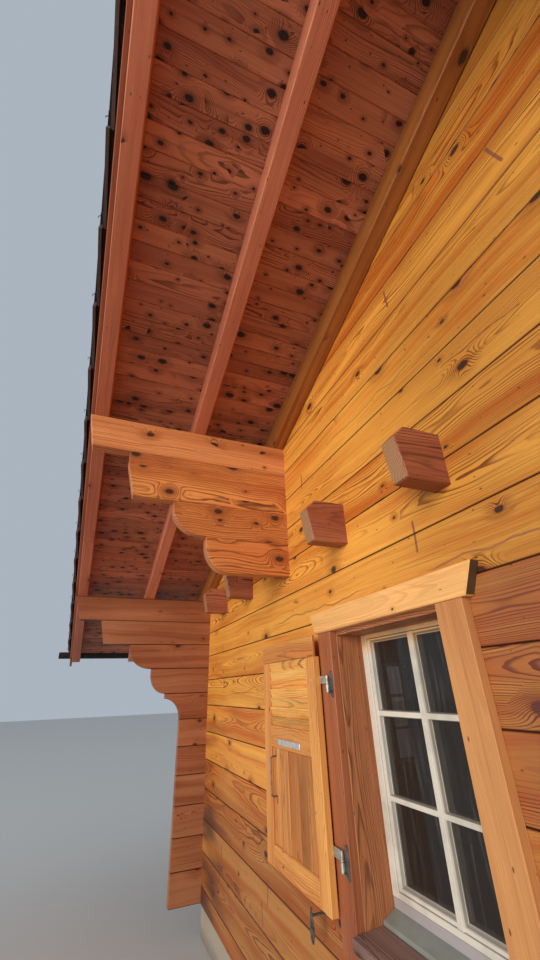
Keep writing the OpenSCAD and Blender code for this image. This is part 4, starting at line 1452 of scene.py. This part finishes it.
@dataclass
class WindowSpots:
    """Where the windows stand: a frame at each opening, X across, Y into the wall, Z up."""

    gable_x: float = 1.776
    side_y: float = 1.7

    def pair(self, turn: float, distance: float, out: float) -> list[Matrix]:
        """The two places on one wall, the second one mirrored."""
        wall = Matrix.Rotation(math.radians(turn), 4, "Z") @ Matrix.Translation((0.0, -out, 0.0))
        left = Matrix.Translation((-distance, 0.0, 0.0))
        return [wall @ left, wall @ MIRROR_X @ left]

    def walls(self) -> dict[str, list[Matrix]]:
        """Places by the name that the CAD nodes use."""
        gable, side = (self.gable_x, SIZES.front), (self.side_y, SIZES.side)
        return {"front": self.pair(0, *gable), "back": self.pair(180, *gable),
                "side": self.pair(-90, *side) + self.pair(90, *side)}


@dataclass
class Windows:
    """Casings, linings, painted sashes with their bars, ledges and sills."""

    half: float = 0.336
    lining: float = 0.022
    casing: Pair = (0.34, 0.452)
    casing_thick: float = 0.033
    casing_foot: float = 0.76
    sill_foot: float = 0.806
    head: float = 1.82
    head_foot: float = 1.84
    head_top: float = 1.936
    head_half: Pair = (0.474, 0.522)
    glass_x: Pair = (0.02, 0.272)
    glass_z: Pair = (0.966, 1.784)
    bars: tuple[Pair, ...] = ((1.207, 1.231), (1.494, 1.52))
    bar_x: Pair = (0.0145, 0.286)
    ledge_y: Pair = (0.0765, 0.131)
    ledge_z: Pair = (0.867, 0.892)
    strip_top: float = 0.9235
    frame_foot: float = 0.9247
    rail_top: float = 0.944
    sash_top: float = 1.8
    frame_face: float = 0.0371
    frame_y: float = 0.13
    sash_y: float = 0.1335
    glass_y: float = 0.149
    back_y: float = 0.178
    gap: float = 0.0004

    def side_board(self, joinery: Joinery, side: int) -> None:
        """One square side board."""
        low, high = self.casing
        joinery.box(span(side * low, side * high), (-self.casing_thick, 0.0),
                    (self.casing_foot, self.head_foot - 0.0005), Z_AXIS)

    def casings(self, joinery: Joinery) -> None:
        """Apron and head board with raked ends."""
        low, thick = self.casing[0] - 0.0005, self.casing_thick
        joinery.box((-low, low), (-thick + 0.002, 0.0), (self.casing_foot, self.sill_foot), X_AXIS)
        foot, top = self.head_half
        joinery.prism(Plane.XZ, [(-foot, self.head_foot), (foot, self.head_foot), (top, self.head_top),
                                 (-top, self.head_top)], -thick - 0.005, 0.0, X_AXIS, Y_AXIS, 0.003)

    def linings(self, joinery: Joinery) -> None:
        """Boards that line the opening."""
        inner, outer = self.half, self.half + self.lining
        for side in (-1, 1):
            joinery.box(span(side * inner, side * outer), SIZES.lining, (self.sill_foot, self.head),
                        Z_AXIS, X_AXIS, 0.0015)
        joinery.box((-outer, outer), SIZES.lining, (self.head, self.head + self.lining), X_AXIS,
                    Z_AXIS, 0.0015)

    def sashes(self, joinery: Joinery) -> None:
        """Outer frame, sash with its bevel, middle bar and cross bars."""
        (in_x, out_x), (foot, top) = self.glass_x, self.glass_z
        frame, sash, glass, back = self.frame_y, self.sash_y, self.glass_y, self.back_y
        deep = SIZES.lining[1]
        outer = self.half - self.gap
        strip = outer - self.frame_face
        stile = [(strip - 0.0022, sash), (out_x + 0.012, sash), (out_x + 0.007, glass - 0.002),
                 (out_x, glass), (out_x, back), (strip - 0.0022, back)]
        for side in (-1, 1):
            joinery.box(span(side * strip, side * outer), (frame, deep), (self.frame_foot, self.head),
                        Z_AXIS, ease=0.0015)
            joinery.prism(Plane.XY, [(side * x, y) for x, y in stile], self.rail_top + 0.002,
                          self.sash_top, Z_AXIS, Y_AXIS, 0.0012)
        for z in ((self.frame_foot, self.rail_top), (self.sash_top + 0.002, self.head)):
            joinery.box((self.gap - strip, strip - self.gap), (frame, deep), z, X_AXIS, ease=0.0015)
        middle = [(-in_x, glass), (-0.012, frame), (0.012, frame), (in_x, glass), (in_x, back + 0.0005),
                  (-in_x, back + 0.0005)]
        joinery.prism(Plane.XY, middle, self.rail_top + 0.0015, self.sash_top, Z_AXIS, Y_AXIS, 0.0012)
        low, high = self.rail_top + 0.0022, self.sash_top - 0.0005
        front, rear = sash + 0.0005, back - 0.001
        rail = [(front, low), (front, foot - 0.009), (glass - 0.004, foot - 0.0055), (glass, foot),
                (rear, foot), (rear, low)]
        head = [(front, high), (front, top + 0.009), (glass - 0.002, top + 0.005), (glass, top),
                (rear, top), (rear, high)]
        reach = out_x + 0.0115
        for outline in (rail, head):
            joinery.prism(Plane.YZ, outline, -reach, reach, X_AXIS, Y_AXIS, 0.001)
        front, rear = sash + 0.0035, back - 0.006
        for foot, top in self.bars:
            bar = [(glass, foot), (glass - 0.002, foot), (front, foot + 0.004), (front, top - 0.004),
                   (glass - 0.002, top), (glass, top), (rear, top), (rear, foot)]
            for side in (-1, 1):
                low, high = span(side * self.bar_x[0], side * self.bar_x[1])
                joinery.prism(Plane.YZ, bar, low, high, X_AXIS, Y_AXIS, 0.001)

    def ledges(self, joinery: Joinery) -> None:
        """The painted ledge that slopes down from the frame."""
        (front, back), (low, high), foot = self.ledge_y, self.ledge_z, self.sill_foot
        deep, reach = SIZES.lining[1], self.half - 0.001
        joinery.prism(Plane.YZ, [(front, foot), (front, low), (back, high), (deep, high), (deep, foot)],
                      -reach, reach, X_AXIS, Z_AXIS, 0.002)

    def strips(self, joinery: Joinery) -> None:
        """The grey strip between ledge and frame, its lilac tint a painted reflection of the sky."""
        reach = self.half - 0.001
        joinery.box((-reach, reach), (self.ledge_y[1] + self.gap, SIZES.lining[1]),
                    (self.ledge_z[1] + 0.0002, self.strip_top), X_AXIS, Z_AXIS, 0.001)

    def sills(self, joinery: Joinery) -> None:
        """The weathered wooden sill with a rounded nose."""
        foot, reach = self.sill_foot, self.half - 0.0005
        nose = [(-0.06, 0.846), (-0.056, 0.8475), (0.076, 0.8555), (0.076, foot), (-0.052, foot),
                (-0.059, foot + 0.008)]
        joinery.prism(Plane.YZ, nose, -reach, reach, X_AXIS, Z_AXIS, 0.004)

    def build(self, walls: Mapping[str, list[Matrix]]) -> None:
        """Builds the windows of every wall and the sills of all."""
        for wall, places in walls.items():
            for part, finish, make in (("casings", PALETTE.casings, self.casings),
                                       ("linings", PALETTE.linings, self.linings),
                                       ("frames", PALETTE.old_paint, self.sashes)):
                assemble(f"{wall}_{part}", finish, make, nodes=(f"{wall}_window_{part}",), places=places)
            # The side boards carry painted shade, darkest on the hinge side under the open leaf's shadow.
            for side, finish in ((-1, PALETTE.shaded_hinge_casings), (1, PALETTE.side_casings)):
                assemble(f"{wall}_{finish.name}", finish, partial(self.side_board, side=side), places=places)
            assemble(f"{wall}_ledges", PALETTE.ledge_paint, self.ledges, places=places)
            assemble(f"{wall}_strips", PALETTE.strip_paint, self.strips, places=places)
        assemble("sill_set", PALETTE.sills, self.sills, nodes=("window_sills",),
                 places=[place for places in walls.values() for place in places])


@dataclass
class Shutters:
    """Framed leaves with lapped slats and a boarded field, their hinges, handle and slot plate."""

    x: Pair = (-1.08, -0.44)
    y: Pair = (-0.074, -0.042)
    z: Pair = (0.856, 1.834)
    field_x: Pair = (-0.99, -0.53)
    panel_z: Pair = (0.942, 1.34)
    slat_z: Pair = (1.437, 1.74)
    slats: int = 7
    lean: float = 0.012
    slat: float = 0.01
    slat_y: float = -0.058
    strip: float = 0.046
    panel_edges: tuple[float, ...] = (-0.99, -0.897, -0.797, -0.688, -0.59, -0.53)
    panel_faces: Pair = (-0.0636, -0.0668)
    panel_back: float = -0.0485
    hinge: Pair = (-0.38, -0.044)
    hinge_z: tuple[float, ...] = (1.03, 1.624)
    barrel: float = 0.007
    barrel_run: float = 0.034
    arm: float = 0.011
    plate_reach: float = 0.053
    plate_y: Pair = (-0.036, -0.033)
    pin: float = 0.004
    handle_x: float = -0.946
    handle_z: Pair = (1.136, 1.302)
    handle_y: Pair = (-0.066, -0.094)
    slot_half: float = 0.128
    slot_z: Pair = (1.357, 1.383)
    screw: Pair = (-0.477, 1.6425)
    catch: Pair = (-0.598, 0.82)
    catch_y: Pair = (-0.078, -0.082)

    def slat_recipe(self) -> Recipe:
        """The tree of one leaf's slats."""
        tree = Recipe("lapped_slats", "Slats", "Width Rise Lean Thickness", "Start Step")
        bench = tree.bench

        def shape(x: Wire, y: Wire, z: Wire) -> Wire:
            """Leans a slat so that its head stands proud of the next one's foot."""
            rise = (z + 0.5) * (tree["Rise"] + 0.004) - 0.004
            return bench.vector(x * tree["Width"],
                                (y + 0.5) * tree["Thickness"] - (z + 0.5) * tree["Lean"], rise)

        slat = tree.block(bench.vector(1.0, 1.0, 1.0), 3, shape)
        x, y, z = tree.place()
        slat = tree.store(slat, "grain", bench.vector(x, z - 0.02, y))
        return tree.close(tree.repeat(slat, tree["Slats"], tree.stride, LEVEL))

    def frame_work(self, joinery: Joinery) -> None:
        """Stiles and rails; the hinge stile is in two strips, the outer one proud."""
        (left, right), (front, back), (foot, top) = self.x, self.y, self.z
        (start, end), strip = self.field_x, right - self.strip
        shoulder = self.slat_z[1] + 0.001
        level = front + 0.0025
        joinery.box((left, start), (level, back), (foot, shoulder), Z_AXIS)
        joinery.box((end, strip - 0.0005), (level, back), (foot, shoulder), Z_AXIS, ease=0.003)
        joinery.box((strip, right), (front, back), (foot, shoulder), Z_AXIS, ease=0.003)
        head = (shoulder + 0.0006, top)
        joinery.box((left, right - 0.002), (front + 0.001, front + 0.015), head, X_AXIS)
        joinery.box((left, right - 0.05), (front + 0.0152, back), head, X_AXIS)
        start, end, level = start + 0.0005, end - 0.0005, level + 0.0005
        joinery.box((start, end), (level, back), (self.panel_z[1], self.slat_z[0]), X_AXIS)
        high = self.panel_z[0]
        joinery.prism(Plane.YZ, [(level, foot), (level, high - 0.008), (level + 0.0065, high),
                                 (back, high), (back, foot)], start, end, X_AXIS, Y_AXIS, 0.0015)

    def panel_work(self, joinery: Joinery) -> None:
        """Boards of the lower field, every other one proud."""
        edges = self.panel_edges
        for k, (left, right) in enumerate(zip(edges, edges[1:])):
            joinery.box((left + 0.0006, right - 0.0006), (self.panel_faces[k % 2], self.panel_back),
                        self.panel_z, Z_AXIS, ease=0.004)

    def plate(self, joinery: Joinery, x: Pair, z: Pair, y: Pair) -> None:
        """A flat plate with round ends."""
        radius, middle = (x[1] - x[0]) / 2, (x[0] + x[1]) / 2
        turns = [math.pi * step / 8 for step in range(9)]
        outline = [(middle + way * radius * math.cos(turn), end + way * radius * (math.sin(turn) - 1))
                   for end, way in ((z[1], 1), (z[0], -1)) for turn in turns]
        joinery.prism(Plane.XZ, outline, y[0], y[1], Z_AXIS, Y_AXIS, 0.0006)

    def sleeves(self, joinery: Joinery) -> None:
        """The leaf's half of the hinges."""
        x, y = self.hinge
        for z in self.hinge_z:
            joinery.rod([(x, y, z), (x, y, z + self.barrel_run)], self.barrel, 20, 0.0012)
            joinery.box((self.x[1], x), (y - 0.0025, y + 0.0025),
                        (z + 0.001, z + self.barrel_run - 0.001), X_AXIS, ease=0.001)

    def barrels(self, joinery: Joinery) -> None:
        """The casing's half of the hinges: barrel and pin."""
        x, y = self.hinge
        for z in self.hinge_z:
            joinery.rod([(x, y, z - self.barrel_run), (x, y, z - 0.0003)], self.barrel, 20, 0.0012)
            joinery.rod([(x, y, z - 0.0013), (x, y, z + self.barrel_run - 0.0013)], self.pin)

    def hinge_plates(self, joinery: Joinery) -> None:
        """The round-ended plates on the casing with their arms."""
        (x, y), reach = self.hinge, self.plate_reach
        for z in self.hinge_z:
            joinery.box((x, x + self.arm), (y, -0.0331), (z - self.barrel_run, z - 0.0003), X_AXIS,
                        ease=0.001)
            self.plate(joinery, (x + 0.01, x + 0.033), (z - reach, z + reach), self.plate_y)
            for end in (z - 0.043, z + 0.043):
                joinery.rod([(x + 0.0215, -0.0355, end), (x + 0.0215, -0.0372, end)], self.pin, ease=0.0006)

    def handle(self, joinery: Joinery) -> None:
        """The bow handle on the boarded field."""
        x, (low, high), (face, out), bend = self.handle_x, self.handle_z, self.handle_y, 0.008
        joinery.rod([(x, face, high), (x, out + bend, high), (x, out, high - bend),
                     (x, out, low + bend), (x, out + bend, low), (x, face, low)], self.pin, 10)
        for z, way in ((low, -1), (high, 1)):
            self.plate(joinery, (x - 0.006, x + 0.006), span(z - way * 0.004, z + way * 0.033),
                       (face + 0.001, face + 0.0044))
            screw = z + way * 0.022
            joinery.rod([(x, face + 0.0012, screw), (x, face - 0.0005, screw)], 0.0032, 10, 0.0006)

    def slot_plate(self, joinery: Joinery) -> None:
        """The slotted plate on the middle rail, and a screw in the hinge stile."""
        middle, half, face = sum(self.field_x) / 2, self.slot_half, self.y[0]
        front, level = face - 0.0025, sum(self.slot_z) / 2
        joinery.box((middle - half, middle + half), (front, face + 0.0025), self.slot_z, X_AXIS,
                    ease=0.0012)
        joinery.box((middle - half + 0.03, middle + half - 0.03), (front - 0.0005, front),
                    (level - 0.0025, level + 0.0025), X_AXIS, ease=0.0002)
        for x in (middle - half + 0.014, middle + half - 0.014):
            joinery.rod([(x, front, level), (x, front - 0.0018, level)], 0.0045, ease=0.0008)
        x, z = self.screw
        joinery.rod([(x, face + 0.003, z), (x, face - 0.0006, z)], 0.0042, ease=0.0008)

    def hold_back(self, joinery: Joinery) -> None:
        """A turned-down catch on a wall pin, clear of the leaf."""
        (x, z), (face, out) = self.catch, self.catch_y
        joinery.rod([(x, 0.0, z), (x, face, z)], 0.0045, 10)
        half = [(0.003, 0.025), (0.012, -0.012), (0.018, -0.045), (0.014, -0.066), (0.005, -0.08)]
        outline = [(x - half[0][0], z + half[0][1]), *((x + reach, z + rise) for reach, rise in half),
                   *((x - reach, z + rise) for reach, rise in reversed(half[1:]))]
        joinery.prism(Plane.XZ, outline, out, face, Z_AXIS, Y_AXIS, 0.001)

    def build(self, walls: Mapping[str, list[Matrix]]) -> None:
        """Hangs the moving leaf and the seven fixed ones."""
        width, rise = self.field_x[1] - self.field_x[0], (self.slat_z[1] - self.slat_z[0]) / self.slats
        pattern = self.slat_recipe().grow(
            "slat_pattern", PALETTE.slats, Slats=self.slats, Width=width - 0.001, Rise=rise, Lean=self.lean,
            Thickness=self.slat, Start=(sum(self.field_x) / 2, self.slat_y, self.slat_z[0]),
            Step=(0.0, 0.0, rise))
        slats = partial(Joinery.adopt, mesh=pattern.data)
        moving = [walls["front"][0]]
        others = [walls["front"][1], *walls["back"], *walls["side"]]
        for name, finish, make, nodes in (
                ("leaf_frame", PALETTE.stiles, self.frame_work, ("shutter_frame",)),
                ("leaf_panel", PALETTE.panels, self.panel_work, ("shutter_panel",)),
                ("leaf_slats", PALETTE.slats, slats, ("shutter_louvres",)),
                ("leaf_fittings", PALETTE.zinc, self.sleeves, ("shutter_fittings",)),
                ("leaf_slot_plate", PALETTE.satin, self.slot_plate, ()),
                ("leaf_handle", PALETTE.bronze, self.handle, ())):
            assemble(name, finish, make, nodes=nodes, body=LEAF, places=moving)
        assemble("fixed_leaves", PALETTE.stiles, self.frame_work, self.panel_work, slats,
                 nodes=("fixed_shutters",), places=others)
        bpy.data.objects.remove(pattern)
        for name, finish, make in (("fixed_sleeves", PALETTE.zinc, self.sleeves),
                                   ("fixed_slot_plates", PALETTE.satin, self.slot_plate),
                                   ("fixed_handles", PALETTE.bronze, self.handle)):
            assemble(name, finish, make, places=others)
        for name, finish, make, nodes in (
                ("casing_hinges", PALETTE.zinc, self.barrels, ("hinge_pins",)),
                ("casing_hinge_plates", PALETTE.dark_zinc, self.hinge_plates, ()),
                ("hold_backs", PALETTE.dark_zinc, self.hold_back, ())):
            assemble(name, finish, make, nodes=nodes, places=moving + others)


@dataclass
class BackDoor:
    """Boarded door with its lining and casing in the back gable."""

    half: float = 0.45
    foot: float = 0.24
    head: float = 2.09
    y: Pair = (0.06, 0.11)
    boards: int = 9
    lining: float = 0.04
    casing: float = 0.112
    casing_y: Pair = (-0.033, 0.0)
    ledge: float = 0.0125
    lock_x: float = 0.38
    lock_z: float = 1.24

    def surround(self, joinery: Joinery) -> None:
        """Lining, casing and threshold."""
        half, head, depth = self.half, self.head, SIZES.lining
        for side in (-1, 1):
            joinery.box(span(side * half, side * (half + self.lining)), depth,
                        (SIZES.plinth, head + self.lining), Z_AXIS, X_AXIS)
            joinery.box(span(side * half, side * (half + self.casing)), self.casing_y,
                        (SIZES.plinth, head), Z_AXIS, ease=0.003)
        joinery.box((-half, half), depth, (head, head + self.lining), X_AXIS, Z_AXIS)
        joinery.box((-half - self.casing, half + self.casing), self.casing_y,
                    (head + 0.0005, head + self.casing), X_AXIS, ease=0.003)
        joinery.box((-half, half), (self.casing_y[0], depth[1]), (SIZES.plinth, self.foot), X_AXIS,
                    Z_AXIS, 0.004)

    def leaf(self, joinery: Joinery) -> None:
        """Upright boards with three ledges across them."""
        front, back = self.y
        width = 2 * self.half / self.boards
        for k in range(self.boards):
            left = -self.half + k * width
            joinery.box((left + 0.0006, left + width - 0.0006), (front + 0.012, back),
                        (self.foot, self.head), Z_AXIS, ease=0.004)
        for z in (self.foot + 0.12, (self.foot + self.head) / 2 - 0.05, self.head - 0.22):
            joinery.box((0.03 - self.half, self.half - 0.03), (front, front + self.ledge), (z, z + 0.11),
                        X_AXIS, ease=0.004)

    def lock(self, joinery: Joinery) -> None:
        """Lock plate and lever."""
        x, z, face = self.lock_x, self.lock_z, self.y[0]
        joinery.box((x - 0.02, x + 0.02), (face - 0.004, face + 0.0122), (z - 0.15, z + 0.08), Z_AXIS,
                    ease=0.0015)
        joinery.rod([(x, face, z), (x, face - 0.045, z), (x - 0.012, face - 0.05, z),
                     (x - 0.12, face - 0.05, z)], 0.008)

    def build(self) -> None:
        """Makes the surround, the boarded leaf and its handle."""
        place = Matrix.Rotation(math.pi, 4, "Z") @ Matrix.Translation((0.0, -SIZES.front, 0.0))
        for name, finish, make, nodes in (("door_surround", PALETTE.casings, self.surround, ("door_frame",)),
                                          ("door_boards", PALETTE.doors, self.leaf, ("door_leaf",)),
                                          ("door_handle", PALETTE.iron, self.lock, ())):
            assemble(name, finish, make, nodes=nodes, places=(place,))


@dataclass(frozen=True)
class Viewpoint:
    """The camera under the verge, looking up along the gable."""

    place: Point = (-0.400, -4.6262, 1.615)
    right: Point = (0.3743, 0.9268, -0.0304)
    down: Point = (-0.4351, 0.1467, -0.8884)
    ahead: Point = (-0.8189, 0.3458, 0.4580)
    focal_pixels: float = 403.75
    frame_pixels: tuple[int, int] = (540, 960)
    sensor: float = 36.0

    def set_up(self) -> None:
        """Makes the scene's camera."""
        data = bpy.data.cameras.new("verge_view")
        data.sensor_fit = "AUTO"
        data.sensor_width = self.sensor
        data.lens = self.focal_pixels / max(self.frame_pixels) * self.sensor
        data.clip_start = 0.02
        camera = bpy.data.objects.new("verge_view", data)
        axes = Matrix((self.right, -Vector(self.down), -Vector(self.ahead))).transposed()
        camera.matrix_world = Matrix.Translation(self.place) @ axes.to_4x4()
        bpy.context.scene.collection.objects.link(camera)
        bpy.context.scene.camera = camera


@dataclass(frozen=True)
class Studio:
    """Pale floor, soft sky and one large soft lamp."""

    floor_half: float = 40.0
    floor_tone: Colour = tint(206, 203, 197)
    sky_tone: Colour = tint(214, 226, 240)
    sky_strength: float = 0.6
    lamp_place: Point = (10.0, -21.5, 4.5)
    lamp_size: float = 12.0
    lamp_power: float = 4700.0
    lamp_tone: Point = (1.0, 0.96, 0.9)
    lamp_aim: Point = (-2.5, -3.6, 2.4)

    def set_up(self) -> None:
        """Makes the floor, the world and the lamp."""
        scene = bpy.context.scene
        mesh = bpy.data.meshes.new("studio_floor")
        reach = self.floor_half
        mesh.from_pydata([(-reach, -reach, 0), (reach, -reach, 0), (reach, reach, 0),
                          (-reach, reach, 0)], [], [(0, 1, 2, 3)])
        floor = bpy.data.objects.new("studio_floor", mesh)
        material = bpy.data.materials.new("studio_floor")
        material.use_nodes = True
        Bench(material.node_tree).feed(Base_Color=self.floor_tone, Roughness=0.9)
        mesh.materials.append(material)
        scene.collection.objects.link(floor)

        world = bpy.data.worlds.new("studio_sky")
        world.use_nodes = True
        sky = world.node_tree.nodes["Background"]
        sky.inputs[0].default_value = self.sky_tone
        sky.inputs[1].default_value = self.sky_strength
        scene.world = world

        data = bpy.data.lights.new("soft_lamp", "AREA")
        data.shape = "SQUARE"
        data.size = self.lamp_size
        data.energy = self.lamp_power
        data.color = self.lamp_tone
        lamp = bpy.data.objects.new("soft_lamp", data)
        aim = (Vector(self.lamp_aim) - Vector(self.lamp_place)).to_track_quat("-Z", "Y")
        lamp.matrix_world = Matrix.Translation(self.lamp_place) @ aim.to_matrix().to_4x4()
        scene.collection.objects.link(lamp)
        scene.view_settings.view_transform = "Standard"


def main() -> None:
    """Builds and dresses the house in order."""
    logging.basicConfig(level=logging.INFO, format="%(name)s: %(message)s")
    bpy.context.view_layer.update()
    Viewpoint().set_up()
    Studio().set_up()
    dress(PALETTE.logs, "front_wall", "back_wall")
    dress(PALETTE.side_logs, "left_wall", "right_wall", "eave_purlins")
    dress(PALETTE.panelling, "front_lining", "back_lining", "left_lining", "right_lining")
    dress(PALETTE.floor, "ground_floor")
    dress(PALETTE.masonry, "plinth")
    dress(PALETTE.glass, "front_window_glass", "back_window_glass", "side_window_glass")
    RoofTimbers().build()
    RoofBoards().build()
    RoofTiles().build()
    Gutters().build()
    Timbers().build()
    walls = WindowSpots().walls()
    Windows().build(walls)
    Shutters().build(walls)
    BackDoor().build()


if __name__ == "__main__":
    main()
